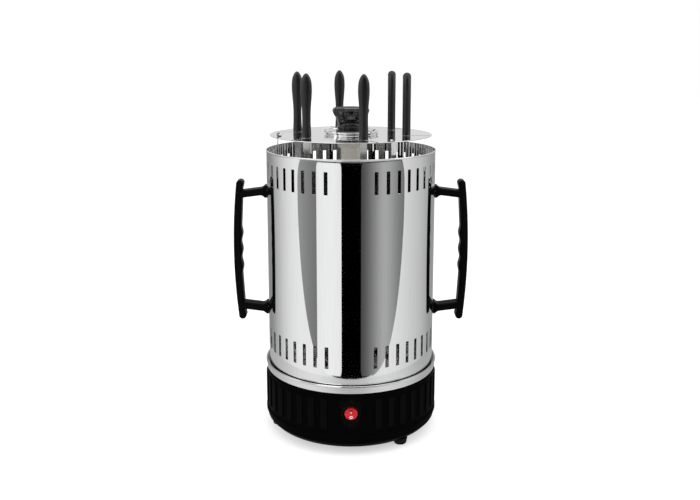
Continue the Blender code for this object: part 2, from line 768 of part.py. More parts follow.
def skewer_handle_shape():
    """A flattened, turned handle, its broad side along X, with a slot for the blade's tang."""
    foot = PLATE_TOP + GAP
    length = SKEWER_HANDLE_LENGTH
    radius = SKEWER_HANDLE_RADIUS
    profile = [
        (0.0, foot + length),
        (radius * 0.35, foot + length * 0.985),
        (radius * 0.75, foot + length * 0.92),
        (radius, foot + length * 0.76),
        (radius * 0.88, foot + length * 0.55),
        (radius * 0.75, foot + length * 0.35),
        (SKEWER_FOOT_RADIUS, foot + length * 0.04),
        (SKEWER_FOOT_RADIUS, foot),
        (0.0, foot),
    ]
    handle = settle(turned("skewer_handle", profile, HANDLE_FACETS, BLACK), 50)
    for vertex in handle.data.vertices:
        x, y, height = vertex.co
        if x * x + y * y > MERGE * MERGE:
            vertex.co.y = y / math.hypot(x, y) * half_depth(height - foot)
    size = (BLADE_WIDTH + 2 * GAP, BLADE_THICKNESS + 2 * GAP, 2 * (BLADE_TANG + GAP))
    return settle(cut(handle, box("tang_slot", size, (0, 0, foot), None, CUTTERS)), 50)


def make_skewer_stations():
    """At each seat: a cup gear with a gap facing the drive gear, a cup, and a skewer."""
    shapes = (cup_gear_shape(), drip_cup_shape(), blade_shape(), skewer_handle_shape())
    names = [shape.name for shape in shapes]
    for index in range(SKEWERS):
        azimuth = skewer_azimuth(index)
        axis = axis_empty(f"skewer_axis_{index + 1}", polar(SKEWER_CIRCLE, azimuth))
        crosswise = math.pi / 2 if index in CROSSWISE_SKEWERS else 0.0
        for name, shape in zip(names, shapes):
            made = shape if index == 0 else link("copy", shape.data)
            made.name = f"{name}_{index + 1}"
            made.parent = axis
            made.rotation_euler.z = crosswise
            if name == "cup_gear":
                made.rotation_euler.z = turn_to(azimuth + 180 + 180 / CUP_TEETH)


# --- casing ---


def make_tray():
    wall = HOUSING_RADIUS
    top = TRAY_TOP
    well = TRAY_WELL + TRAY_SHEET
    hole = STEM_RADIUS + 2 * GAP
    profile = [
        (wall + TRAY_BEAD, top),
        (wall + TRAY_BEAD, top - 2 * TRAY_BEAD),
        (wall, top - 3 * TRAY_BEAD),
        (wall, TRAY_SHELF - TRAY_SHEET),
        (well, TRAY_SHELF - TRAY_SHEET),
        (well, TRAY_FLOOR - TRAY_SHEET),
        (hole, TRAY_FLOOR - TRAY_SHEET),
        (hole, TRAY_FLOOR),
        (TRAY_WELL, TRAY_FLOOR),
        (TRAY_WELL, TRAY_SHELF),
        (wall - TRAY_SHEET, TRAY_SHELF),
        (wall - TRAY_SHEET, top),
    ]
    tray = turned("tray", profile, WIDE_FACETS, STEEL)
    holes = [
        Matrix.Translation(polar(SKEWER_CIRCLE, skewer_azimuth(index), TRAY_FLOOR))
        for index in range(SKEWERS)
    ]
    settle(cut(tray, rods("spindle_holes", SPINDLE_RADIUS + RUNNING_GAP, 0.01, holes)))


def slot_azimuths():
    count = round(360 / SLOT_PITCH)
    first = SLOTS_LEFT_OUT + 1
    return [SLOT_PITCH * index for index in range(first, count - first + 1)]


def make_casing():
    profile = [
        (CASING_RADIUS + CASING_BEAD, CASING_TOP),
        (CASING_RADIUS + CASING_BEAD, CASING_TOP - 2 * CASING_BEAD),
        (CASING_RADIUS, CASING_TOP - 3 * CASING_BEAD),
        (CASING_RADIUS, CASING_FOOT),
        (CASING_BORE, CASING_FOOT),
        (CASING_BORE, CASING_TOP),
    ]
    casing = turned("casing", profile, CASING_FACETS, STEEL)
    size = (10 * CASING_WALL, SLOT_WIDTH, SLOT_LENGTH)
    slots = [
        (
            size,
            Matrix.Translation(polar(CASING_RADIUS, azimuth, height))
            @ Matrix.Rotation(turn_to(azimuth), 4, "Z"),
        )
        for azimuth in slot_azimuths()
        for height in (LOWER_SLOTS, UPPER_SLOTS)
    ]
    cut(casing, link("casing_slots", box_mesh("casing_slots", slots), None, CUTTERS))
    sideways = Matrix.Rotation(math.pi / 2, 4, "Y")
    holes = [
        Matrix.Translation((side * CASING_RADIUS, 0, height)) @ sideways
        for side in (-1, 1)
        for height in (LOWER_ARM, UPPER_ARM)
    ]
    cut(casing, rods("handle_screw_holes", SCREW_HOLE, 0.01, holes))
    settle(casing)


def grip_face(height):
    """How far the grip's outer face stands out from the casing at a height."""
    middle = (UPPER_ARM + LOWER_ARM) / 2
    half = (UPPER_ARM - LOWER_ARM) / 2 + GRIP_PAST_ARM
    return HANDLE_REACH - GRIP_BOW * ((height - middle) / half) ** 2


def grip_inside(height):
    """The grip's inner face, with the finger scallops round its middle."""
    middle = (UPPER_ARM + LOWER_ARM) / 2
    along = (height - middle) / SCALLOP_PITCH
    bump = 0.0
    if abs(along) < SCALLOPS / 2:
        bump = SCALLOP_DEPTH * (0.5 + 0.5 * math.cos(2 * math.pi * along))
    return grip_face(height) - GRIP_THICKNESS - bump


def spread(first, last, count):
    return [first + (last - first) * i / (count - 1) for i in range(count)]


def grip_end(height, upwards):
    """The rounded end of the grip, from its inner face round to its outer one or back."""
    radius = GRIP_THICKNESS / 2
    centre = grip_face(height) - radius
    sign = 1 if upwards else -1
    return [
        (centre + sign * radius * math.cos(angle), height + sign * radius * math.sin(angle))
        for angle in spread(0, math.pi, 5)
    ]


def arm_outline(height, droop):
    """An arm from the grip in to its pad on the casing and back, running down."""
    half = ARM_THICKNESS / 2
    pad = PAD_HEIGHT / 2
    start = height + droop
    grip = grip_face(start) - GRIP_THICKNESS + OVERLAP
    return [
        (grip, start + half),
        (PAD_THICKNESS * 2, height + half),
        (PAD_THICKNESS, height + pad),
        (GAP, height + pad),
        (GAP, height - pad),
        (PAD_THICKNESS, height - pad),
        (PAD_THICKNESS * 2, height - half),
        (grip, start - half),
    ]


def handle_outline():
    """The handle seen from the side, as (distance from the casing, height), anticlockwise."""
    radius = GRIP_THICKNESS / 2
    top = UPPER_ARM + GRIP_PAST_ARM - radius
    foot = LOWER_ARM - GRIP_PAST_ARM + radius
    outline = [(grip_face(z), z) for z in spread(foot, top, 9)[1:-1]]
    outline += grip_end(top, True)
    outline += arm_outline(UPPER_ARM, -ARM_DROOP)
    half = SCALLOPS * SCALLOP_PITCH / 2
    middle = (UPPER_ARM + LOWER_ARM) / 2
    outline += [
        (grip_inside(z), z)
        for z in spread(middle + half, middle - half, 6 * SCALLOPS + 1)
    ]
    outline += arm_outline(LOWER_ARM, ARM_DROOP)
    outline += grip_end(foot, False)
    return outline


def make_handles():
    shape = slab("handle", [handle_outline()], HANDLE_WIDTH, BLACK, HANDLE_EDGE)
    shape.data.transform(
        Matrix.Translation((CASING_RADIUS, 0, 0)) @ Matrix.Rotation(math.pi / 2, 4, "X")
    )
    sideways = Matrix.Rotation(math.pi / 2, 4, "Y")
    bores = [
        Matrix.Translation((CASING_RADIUS, 0, height)) @ sideways
        for height in (LOWER_ARM, UPPER_ARM)
    ]
    settle(cut(shape, rods("arm_bores", SCREW_HOLE, 2 * (SCREW_BITE + GAP), bores)))
    left = link("handle_left", shape.data)
    left.rotation_euler.z = math.pi
    shape.name = "handle_right"


def make_handle_screws():
    screw = screw_piece(
        "handle_screw", SCREW_SHANK, SCREW_HEAD, SCREW_BITE + CASING_WALL + GAP, ZINC
    )
    seat = CASING_BORE - RUNNING_GAP

    def place(made, index):
        side = 1 if index < 2 else -1
        height = (LOWER_ARM, UPPER_ARM)[index % 2]
        made.location = (side * seat, 0, height)
        made.rotation_euler = (0, side * math.pi / 2, 0)

    copies(screw, 4, place)


# --- top plate and heater ---


def make_top_plate():
    hole = KNOB_HOLE
    slope = BOSS_RADIUS + BOSS_RISE
    profile = [
        (hole, PLATE_TOP + BOSS_RISE),
        (BOSS_RADIUS, PLATE_TOP + BOSS_RISE),
        (slope, PLATE_TOP),
        (TOP_PLATE_RADIUS, PLATE_TOP),
        (TOP_PLATE_RADIUS, PLATE_UNDERSIDE),
        (slope - TOP_SHEET / 2, PLATE_UNDERSIDE),
        (BOSS_RADIUS - TOP_SHEET / 2, PLATE_UNDERSIDE + BOSS_RISE),
        (hole, PLATE_UNDERSIDE + BOSS_RISE),
    ]
    plate = turned("top_plate", profile, WIDE_FACETS, STEEL)
    seats = []
    entries = []
    reach = TOP_PLATE_RADIUS - SKEWER_CIRCLE + 0.02
    for index in range(SKEWERS):
        azimuth = skewer_azimuth(index)
        seat = Matrix.Translation(polar(SKEWER_CIRCLE, azimuth, PLATE_TOP))
        seats.append(seat)
        slant = Matrix.Rotation(turn_to(azimuth + ENTRY_SLANT), 4, "Z")
        entries.append(
            ((reach, ENTRY_WIDTH, 0.01), seat @ slant @ Matrix.Translation((reach / 2, 0, 0)))
        )
    cut(plate, rods("seats", SEAT_RADIUS, 0.01, seats))
    cut(plate, link("entries", box_mesh("entries", entries), None, CUTTERS))
    settle(plate)


def make_knob():
    foot = PLATE_TOP + BOSS_RISE + GAP
    top = foot + KNOB_HEIGHT
    dish = 0.0008
    profile = [
        (0.0, top - dish),
        (KNOB_RADIUS * 0.7, top - dish),
        (KNOB_RADIUS * 0.9, top),
        (KNOB_RADIUS, top - 0.002),
        (KNOB_RADIUS, top - 0.0085),
        (KNOB_WAIST * 1.15, foot + KNOB_HEIGHT * 0.55),
        (KNOB_WAIST, foot + KNOB_HEIGHT * 0.4),
        (KNOB_WAIST * 1.05, foot + KNOB_HEIGHT * 0.22),
        (KNOB_FOOT, foot + 0.0025),
        (KNOB_FOOT, foot),
        (KNOB_HOLE, foot),
        (KNOB_HOLE, foot + KNOB_BORE_DEPTH),
        (0.0, foot + KNOB_BORE_DEPTH),
    ]
    settle(turned("knob", profile, MIDDLE_FACETS, BLACK))
    screw = screw_piece(
        "knob_screw",
        KNOB_SCREW_SHANK,
        KNOB_SCREW_HEAD,
        TOP_SHEET + KNOB_BORE_DEPTH - 2 * GAP,
        ZINC,
    )
    screw.location = (0, 0, PLATE_UNDERSIDE + BOSS_RISE - GAP)


def make_posts():
    """Bent strips from the tray's floor up to the plate, each with a tab at both ends."""
    outer = CASING_BORE - POST_TO_CASING
    foot = TRAY_FLOOR + GAP
    top = PLATE_UNDERSIDE - GAP
    inner = outer - POST_SHEET
    outline = [
        (outer, foot),
        (outer, top),
        (outer - POST_TAB, top),
        (outer - POST_TAB, top - POST_SHEET),
        (inner, top - POST_SHEET),
        (inner, foot + POST_SHEET),
        (outer - POST_TAB, foot + POST_SHEET),
        (outer - POST_TAB, foot),
    ]
    post = slab("post", [outline], POST_WIDTH, STEEL)
    post.data.transform(Matrix.Rotation(math.pi / 2, 4, "X"))

    def place(made, index):
        made.rotation_euler.z = turn_to(POST_AZIMUTHS[index])

    copies(settle(post), len(POST_AZIMUTHS), place)


def make_heater():
    collar = SOCKET_RECESS_RADIUS + SOCKET_WALL
    flange_foot = TRAY_FLOOR + GAP
    recess_floor = SOCKET_TOP - SOCKET_RECESS
    socket = [
        (0.0, recess_floor),
        (SOCKET_RECESS_RADIUS, recess_floor),
        (SOCKET_RECESS_RADIUS, SOCKET_TOP),
        (collar, SOCKET_TOP),
        (collar, flange_foot + SOCKET_FLANGE_HEIGHT),
        (SOCKET_FLANGE, flange_foot + SOCKET_FLANGE_HEIGHT),
        (SOCKET_FLANGE, flange_foot),
        (STEM_RADIUS, flange_foot),
        (STEM_RADIUS, CHASSIS_TOP + GAP),
        (0.0, CHASSIS_TOP + GAP),
    ]
    settle(turned("heater_socket", socket, MIDDLE_FACETS, CERAMIC))
    tube_foot = recess_floor + GAP
    tube_top = CAP_TOP - CAP_THICKNESS - GAP
    bore = HEATER_TUBE_RADIUS - HEATER_TUBE_WALL
    tube = [
        (HEATER_TUBE_RADIUS, tube_top),
        (HEATER_TUBE_RADIUS, tube_foot),
        (bore, tube_foot),
        (bore, tube_top),
    ]
    settle(turned("heater_tube", tube, MIDDLE_FACETS, CERAMIC))
    core = [
        (0.0, tube_top - GAP),
        (HEATER_CORE_RADIUS, tube_top - GAP),
        (HEATER_CORE_RADIUS, tube_foot),
        (0.0, tube_foot),
    ]
    settle(turned("heater_core", core, HANDLE_FACETS, ZINC))
    cap = [
        (0.0, CAP_TOP),
        (collar - 0.002, CAP_TOP),
        (collar, CAP_TOP - 0.002),
        (collar, CAP_TOP - CAP_THICKNESS - CAP_SKIRT),
        (SOCKET_RECESS_RADIUS, CAP_TOP - CAP_THICKNESS - CAP_SKIRT),
        (SOCKET_RECESS_RADIUS, CAP_TOP - CAP_THICKNESS),
        (0.0, CAP_TOP - CAP_THICKNESS),
    ]
    settle(turned("heater_cap", cap, MIDDLE_FACETS, CERAMIC))


def make_terminal_block():
    width, depth, height = TERMINAL_SIZE
    place = polar(TERMINAL_CIRCLE, TERMINAL_AZIMUTH, COVER_FLOOR_TOP + GAP + height / 2)
    block = box("terminal_block", TERMINAL_SIZE, (0, 0, 0), NYLON)
    edge = block.modifiers.new("Edges", "BEVEL")
    edge.width = 0.0008
    edge.segments = 1
    settle(block)
    block.location = place
    block.rotation_euler.z = turn_to(TERMINAL_AZIMUTH + 90)


def clear_scene():
    for old in list(bpy.data.objects):
        bpy.data.objects.remove(old, do_unlink=True)


def main():
    clear_scene()
    bpy.context.scene.collection.children.link(PIECES)
    bpy.context.scene.collection.children.link(CUTTERS)
    make_feet()
    make_bottom_cover()
    make_cover_screws()
    make_base_housing()
    make_switch()
    make_cord_gland()
    make_terminal_block()
    make_chassis_plate()
    make_motor()
    make_pinion()
    make_drive_gear()
    make_skewer_stations()
    make_tray()
    make_casing()
    make_handles()
    make_handle_screws()
    make_top_plate()
    make_knob()
    make_posts()
    make_heater()


main()
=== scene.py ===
"""An upright electric skewer grill on a pale studio floor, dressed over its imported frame.

Lengths are in metres and +Z is up. An azimuth is in degrees, seen from above, from the front (-Y)
towards +X. Each sub-assembly is a class whose fields are its own sizes; where it sits comes from the
boxes of the CAD nodes.
"""

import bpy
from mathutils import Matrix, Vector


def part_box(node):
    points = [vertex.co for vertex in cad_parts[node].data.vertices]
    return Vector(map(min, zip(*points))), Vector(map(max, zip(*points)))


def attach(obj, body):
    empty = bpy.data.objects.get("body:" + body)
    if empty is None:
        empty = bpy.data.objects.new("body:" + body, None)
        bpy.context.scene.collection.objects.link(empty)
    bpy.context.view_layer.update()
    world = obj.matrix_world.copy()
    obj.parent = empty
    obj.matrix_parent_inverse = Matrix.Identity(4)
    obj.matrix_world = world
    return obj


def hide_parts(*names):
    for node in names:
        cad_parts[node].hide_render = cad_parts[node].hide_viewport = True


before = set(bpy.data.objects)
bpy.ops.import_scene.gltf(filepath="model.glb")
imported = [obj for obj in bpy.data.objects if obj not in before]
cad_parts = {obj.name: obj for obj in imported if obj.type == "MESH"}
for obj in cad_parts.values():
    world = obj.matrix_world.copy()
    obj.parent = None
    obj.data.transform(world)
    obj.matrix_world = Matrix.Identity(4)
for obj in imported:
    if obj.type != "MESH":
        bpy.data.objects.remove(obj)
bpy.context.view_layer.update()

import logging
import math
from dataclasses import dataclass, field
from enum import Enum
from typing import Iterable, Sequence

import bmesh
import bpy
from mathutils import Matrix, Vector

LOG = logging.getLogger("skewer_grill")
Point = tuple[float, float]
Colour = tuple[float, float, float]
Piece = bpy.types.Object
Socket = bpy.types.NodeSocket
STOOD_UP = Matrix.Rotation(math.pi / 2, 4, "X")
SIDEWAYS = Matrix.Rotation(math.pi / 2, 4, "Y")


# --- sizes that the frame gives ---


def lowest(node: str) -> float:
    """Returns the height of a CAD node's lowest point."""
    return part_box(node)[0][2]


def highest(node: str) -> float:
    """Returns the height of a CAD node's highest point."""
    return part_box(node)[1][2]


def reach(node: str) -> float:
    """Returns how far a round CAD node reaches from the grill's axis."""
    low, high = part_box(node)
    return max(-low[0], high[0], -low[1], high[1])


def middle(node: str) -> Vector:
    """Returns the middle of a CAD node's box."""
    low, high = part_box(node)
    return (Vector(low) + Vector(high)) / 2


def polar(radius: float, azimuth: float, height: float = 0.0) -> Vector:
    """Returns the point at a radius, azimuth and height."""
    angle = math.radians(azimuth)
    return Vector((radius * math.sin(angle), -radius * math.cos(angle), height))


def facing(azimuth: float) -> Matrix:
    """Returns the turn about Z that points a piece's own +X towards an azimuth."""
    return Matrix.Rotation(math.radians(azimuth - 90), 4, "Z")


def spread(first: float, last: float, count: int) -> list[float]:
    """Returns evenly spaced values, both ends among them."""
    return [first + (last - first) * i / (count - 1) for i in range(count)]


# --- node trees for what repeats ---


class NodeTree:
    """What this file's node trees share: their ends, nodes, links and arithmetic.

    Attributes:
        tree: The tree that is filled.
    """

    tree: bpy.types.NodeTree

    def add_ends(self) -> None:
        """Adds the nodes that carry the tree's inputs and outputs."""
        self.source = self.node("NodeGroupInput")
        self.result = self.node("NodeGroupOutput")

    def node(self, kind: str, **settings: object) -> bpy.types.Node:
        """Returns a new node with its settings made."""
        made = self.tree.nodes.new(kind)
        for key, value in settings.items():
            setattr(made, key, value)
        return made

    def feed(self, value: object, socket: Socket) -> None:
        """Links an output socket to an input, or writes a plain value on it."""
        if isinstance(value, Socket):
            self.tree.links.new(value, socket)
        else:
            socket.default_value = value

    def given(self, name: str) -> Socket:
        """Returns the socket that carries a named input."""
        return self.source.outputs[name]

    def sum(self, operation: str, *values: object) -> Socket:
        """Returns the outcome of one step of arithmetic.

        Args:
            operation: The Math node's operation.
            values: The numbers, or the sockets that carry them.
        """
        step = self.node("ShaderNodeMath", operation=operation)
        for value, socket in zip(values, step.inputs):
            self.feed(value, socket)
        return step.outputs[0]


class PatternTree(NodeTree):
    """A Geometry Nodes tree with named inputs, which ends in Realize Instances and Set Material.

    Args:
        name: The tree's name.
    """

    def __init__(self, name: str) -> None:
        """Makes the empty tree with its geometry sockets and its finish."""
        self.tree = bpy.data.node_groups.new(name, "GeometryNodeTree")
        self.identifiers: dict[str, str] = {}
        for way in ("INPUT", "OUTPUT"):
            self.tree.interface.new_socket("Geometry", in_out=way, socket_type="NodeSocketGeometry")
        self.add_input("Finish", "NodeSocketMaterial")
        self.add_ends()

    def add_input(self, name: str, kind: str) -> None:
        """Adds a named input and remembers its identifier.

        Args:
            name: The input's name.
            kind: Its socket type.
        """
        socket = self.tree.interface.new_socket(name, in_out="INPUT", socket_type=kind)
        self.identifiers[name] = socket.identifier

    def end(self, geometry: Socket) -> None:
        """Realizes the instances, sets the finish and puts the geometry out."""
        real = self.node("GeometryNodeRealizeInstances")
        dressed = self.node("GeometryNodeSetMaterial")
        self.feed(geometry, real.inputs[0])
        self.feed(real.outputs[0], dressed.inputs["Geometry"])
        self.feed(self.given("Finish"), dressed.inputs["Material"])
        self.feed(dressed.outputs[0], self.result.inputs[0])

    def bake(self, name: str, values: dict[str, object]) -> Piece:
        """Runs the tree and keeps what it makes as a plain mesh.

        Args:
            name: The new piece's name.
            values: A value for each named input.

        Returns:
            The piece, with no modifier left on it.
        """
        made = new_piece(name, bpy.data.meshes.new(name))
        step = made.modifiers.new("Pattern", "NODES")
        step.node_group = self.tree
        for key, value in values.items():
            step[self.identifiers[key]] = value
        return bake(made)


def ring_tree() -> PatternTree:
    """Returns the tree that sets copies of a piece round the grill's axis, in one row or more."""
    made = PatternTree("copies_round_an_axis")
    made.add_input("Piece", "NodeSocketObject")
    for name in ("Each Row", "Rows"):
        made.add_input(name, "NodeSocketInt")
    for name in ("Radius", "First Angle", "Pitch", "Height", "Row Rise"):
        made.add_input(name, "NodeSocketFloat")
    points = made.node("GeometryNodePoints")
    made.feed(made.sum("MULTIPLY", made.given("Each Row"), made.given("Rows")), points.inputs[0])
    index = made.node("GeometryNodeInputIndex").outputs[0]
    row = made.sum("FLOOR", made.sum("DIVIDE", index, made.given("Each Row")))
    place = made.sum("MODULO", index, made.given("Each Row"))
    angle = made.sum("ADD", made.sum("MULTIPLY", place, made.given("Pitch")), made.given("First Angle"))
    where = made.node("ShaderNodeCombineXYZ")
    for socket, way in zip(where.inputs, ("COSINE", "SINE")):
        made.feed(made.sum("MULTIPLY", made.sum(way, angle), made.given("Radius")), socket)
    rise = made.sum("MULTIPLY", row, made.given("Row Rise"))
    made.feed(made.sum("ADD", rise, made.given("Height")), where.inputs[2])
    moved = made.node("GeometryNodeSetPosition")
    made.feed(points.outputs[0], moved.inputs["Geometry"])
    made.feed(where.outputs[0], moved.inputs["Position"])
    turn = made.node("ShaderNodeCombineXYZ")
    made.feed(angle, turn.inputs[2])
    piece = made.node("GeometryNodeObjectInfo")
    piece.inputs["As Instance"].default_value = True
    made.feed(made.given("Piece"), piece.inputs["Object"])
    placed = made.node("GeometryNodeInstanceOnPoints")
    made.feed(moved.outputs[0], placed.inputs["Points"])
    made.feed(piece.outputs["Geometry"], placed.inputs["Instance"])
    made.feed(turn.outputs[0], placed.inputs["Rotation"])
    made.end(placed.outputs[0])
    return made


def coil_tree() -> PatternTree:
    """Returns the tree that winds a wire round the grill's axis."""
    made = PatternTree("wire_wound_round_an_axis")
    for name in ("Turns", "Radius", "Height", "Wire Radius", "Foot"):
        made.add_input(name, "NodeSocketFloat")
    spiral = made.node("GeometryNodeCurveSpiral")
    spiral.inputs["Resolution"].default_value = 20
    for name in ("Start Radius", "End Radius"):
        made.feed(made.given("Radius"), spiral.inputs[name])
    made.feed(made.given("Turns"), spiral.inputs["Rotations"])
    made.feed(made.given("Height"), spiral.inputs["Height"])
    wire = made.node("GeometryNodeCurvePrimitiveCircle")
    wire.inputs["Resolution"].default_value = 6
    made.feed(made.given("Wire Radius"), wire.inputs["Radius"])
    swept = made.node("GeometryNodeCurveToMesh")
    swept.inputs["Fill Caps"].default_value = True
    made.feed(spiral.outputs[0], swept.inputs["Curve"])
    made.feed(wire.outputs[0], swept.inputs["Profile Curve"])
    lift = made.node("ShaderNodeCombineXYZ")
    made.feed(made.given("Foot"), lift.inputs[2])
    raised = made.node("GeometryNodeTransform")
    made.feed(swept.outputs[0], raised.inputs["Geometry"])
    made.feed(lift.outputs[0], raised.inputs["Translation"])
    made.end(raised.outputs[0])
    return made


@dataclass
class RingPattern:
    """Copies of a piece round the grill's axis, each with its own +X outwards.

    Args:
        piece: What is copied.
        each_row: How many stand in one row.
        first: The azimuth of the first.
        pitch: Degrees from one to the next.
        radius: How far out they stand.
        height: The height of the lowest row.
        rows: How many rows there are.
        row_rise: From one row up to the next.
    """

    piece: Piece
    each_row: int
    first: float
    pitch: float
    radius: float = 0.0
    height: float = 0.0
    rows: int = 1
    row_rise: float = 0.0

    def bake(self, name: str, finish: bpy.types.Material | None = None) -> Piece:
        """Returns the copies as one plain mesh, and removes the piece that was copied.

        Args:
            name: The new piece's name.
            finish: Its material.
        """
        values = {
            "Piece": self.piece,
            "Each Row": self.each_row,
            "Rows": self.rows,
            "Radius": self.radius,
            "First Angle": math.radians(self.first - 90),
            "Pitch": math.radians(self.pitch),
            "Height": self.height,
            "Row Rise": self.row_rise,
        }
        if finish:
            values["Finish"] = finish
        made = RING.bake(name, values)
        bpy.data.objects.remove(self.piece)
        return made


# --- mesh tools ---


def new_piece(name: str, mesh: bpy.types.Mesh) -> Piece:
    """Returns a new object of a mesh, linked to the scene."""
    made = bpy.data.objects.new(name, mesh)
    bpy.context.scene.collection.objects.link(made)
    return made


def finished(work: bmesh.types.BMesh, name: str) -> Piece:
    """Returns a new piece of the mesh that was worked on, which is then freed."""
    mesh = bpy.data.meshes.new(name)
    work.to_mesh(mesh)
    work.free()
    return new_piece(name, mesh)


def bake(piece: Piece) -> Piece:
    """Turns a piece's modifiers into its own mesh and removes them."""
    bpy.context.view_layer.update()
    graph = bpy.context.evaluated_depsgraph_get()
    mesh = bpy.data.meshes.new_from_object(piece.evaluated_get(graph))
    piece.modifiers.clear()
    if piece.type == "MESH":
        piece.data = mesh
        return piece
    name = piece.name
    bpy.data.objects.remove(piece)
    return new_piece(name, mesh)


def weld(piece: Piece, distance: float = 1e-6) -> Piece:
    """Merges a closed piece's doubled points and turns its faces outwards."""
    work = bmesh.new()
    work.from_mesh(piece.data)
    bmesh.ops.remove_doubles(work, verts=work.verts, dist=distance)
    bmesh.ops.dissolve_degenerate(work, edges=work.edges, dist=1e-7)
    bmesh.ops.recalc_face_normals(work, faces=work.faces)
    work.to_mesh(piece.data)
    work.free()
    return piece


def shade(piece: Piece, sharp: float = 32.0) -> Piece:
    """Shades a piece smooth, with its flats flat and its edges sharp past an angle."""
    piece.data.shade_smooth()
    piece.data.set_sharp_from_angle(angle=math.radians(sharp))
    flats = piece.modifiers.new("Flats", "WEIGHTED_NORMAL")
    flats.keep_sharp = True
    flats.weight = 90
    return bake(piece)


def rounded(corners: Sequence[tuple[float, float, float]], steps: int = 4) -> list[Point]:
    """Rounds the corners of a profile or outline.

    Args:
        corners: Each corner as two coordinates and the radius of its rounding.
        steps: How many pieces each rounding has.

    Returns:
        The points, in the corners' order. The first and last corner stay sharp if their radius is 0.
    """
    points: list[Point] = []
    count = len(corners)
    for i, (x, y, radius) in enumerate(corners):
        here = Vector((x, y))
        before = Vector(corners[i - 1][:2]) - here
        after = Vector(corners[(i + 1) % count][:2]) - here
        if radius <= 0 or before.length < 1e-9 or after.length < 1e-9:
            points.append((x, y))
            continue
        opening = before.angle(after)
        if opening > math.pi - 0.02:
            points.append((x, y))
            continue
        cut = min(radius / math.tan(opening / 2), before.length * 0.49, after.length * 0.49)
        radius = cut * math.tan(opening / 2)
        way = (before.normalized() + after.normalized()).normalized()
        centre = here + way * (radius / math.sin(opening / 2))
        start = here + before.normalized() * cut - centre
        turn = start.angle_signed(here + after.normalized() * cut - centre)
        for step in range(steps + 1):
            angle = -turn * step / steps
            cosine, sine = math.cos(angle), math.sin(angle)
            across = centre.x + start.x * cosine - start.y * sine
            points.append((across, centre.y + start.x * sine + start.y * cosine))
    return points


def smooth_line(points: Sequence[Point], steps: int = 6) -> list[Point]:
    """Returns a smooth curve through all the points."""
    made: list[Point] = []
    last = len(points) - 1
    for i in range(last):
        a, b = Vector(points[max(i - 1, 0)]), Vector(points[i])
        c, d = Vector(points[i + 1]), Vector(points[min(i + 2, last)])
        for step in range(steps):
            t = step / steps
            place = 0.5 * (
                2 * b
                + (c - a) * t
                + (2 * a - 5 * b + 4 * c - d) * t * t
                + (3 * b - a - 3 * c + d) * t * t * t
            )
            made.append((max(place.x, 0.0), place.y))
    made.append(tuple(points[-1]))
    return made


def turned(name: str, profile: Sequence[Point], steps: int, closed: bool = False) -> Piece:
    """Turns a profile about the grill's axis into a closed piece.

    Args:
        name: The piece's name.
        profile: Points as (radius, height). Ends on the axis close with a pole.
        steps: How many facets go round.
        closed: Whether the profile's last point joins its first.

    Returns:
        The piece, with its faces outwards.
    """
    work = bmesh.new()
    rings: list[list[bmesh.types.BMVert]] = []
    for radius, height in profile:
        if radius < 1e-7:
            rings.append([work.verts.new((0.0, 0.0, height))])
            continue
        rings.append([work.verts.new(polar(radius, 360 * i / steps, height)) for i in range(steps)])
    pairs = list(zip(rings, rings[1:]))
    if closed:
        pairs.append((rings[-1], rings[0]))
    for one, other in pairs:
        if len(one) == 1 and len(other) == 1:
            continue
        for i in range(steps):
            j = (i + 1) % steps
            corners = [one[i % len(one)], one[j % len(one)], other[j % len(other)], other[i % len(other)]]
            distinct = list(dict.fromkeys(corners))
            if len(distinct) > 2:
                work.faces.new(distinct)
    bmesh.ops.recalc_face_normals(work, faces=work.faces)
    return finished(work, name)


def slab(
    name: str, outlines: Iterable[Sequence[Point]], thickness: float, edge: float = 0.0, steps: int = 2
) -> Piece:
    """A flat outline in XY, centred on z = 0, with rounded edges.

    Args:
        name: The piece's name.
        outlines: The outline, and any holes as further outlines.
        thickness: The slab's thickness.
        edge: The radius of its edges.
        steps: How finely the edges are rounded.
    """
    curve = bpy.data.curves.new(name, "CURVE")
    curve.dimensions = "2D"
    curve.fill_mode = "BOTH"
    curve.extrude = thickness / 2 - edge
    curve.bevel_depth = edge
    curve.bevel_resolution = steps
    curve.offset = -edge
    for outline in outlines:
        spline = curve.splines.new("POLY")
        spline.points.add(len(outline) - 1)
        for point, (x, y) in zip(spline.points, outline):
            point.co = (x, y, 0.0, 1.0)
        spline.use_cyclic_u = True
    return weld(bake(new_piece(name, curve)))


def placed(piece: Piece, *steps: Matrix) -> Piece:
    """Moves a piece's mesh by matrices, the last one first."""
    whole = Matrix.Identity(4)
    for step in steps:
        whole = whole @ step
    piece.data.transform(whole)
    return piece


def copied(piece: Piece, name: str, *steps: Matrix) -> Piece:
    """Returns a copy of a piece whose mesh is moved by matrices."""
    return placed(new_piece(name, piece.data.copy()), *steps)


def merged(name: str, pieces: Sequence[Piece]) -> Piece:
    """Puts the meshes of several pieces into one piece, and removes them."""
    work = bmesh.new()
    for piece in pieces:
        work.from_mesh(piece.data)
        bpy.data.objects.remove(piece)
    return finished(work, name)


class Way(Enum):
    """How one shape works on another."""

    CUT = "DIFFERENCE"
    JOIN = "UNION"
    KEEP_COMMON = "INTERSECT"


def worked(piece: Piece, tool: Piece, way: Way = Way.CUT) -> Piece:
    """Cuts, joins or crops a piece with a tool shape, which is then removed.

    Args:
        piece: The piece that is worked on.
        tool: The other shape, closed.
        way: What is done.

    Returns:
        The piece, with its outcome baked.
    """
    step = piece.modifiers.new("Work", "BOOLEAN")
    step.operation = way.value
    step.solver = "EXACT"
    step.object = tool
    bake(piece)
    bpy.data.objects.remove(tool)
    return weld(piece)


def rod(name: str, radius: float, length: float, where: Matrix, facets: int = 32) -> Piece:
    """A round cutting rod centred on a matrix, along its own Z."""
    half = length / 2
    made = turned(name, [(0, half), (radius, half), (radius, -half), (0, -half)], facets)
    return placed(made, where)


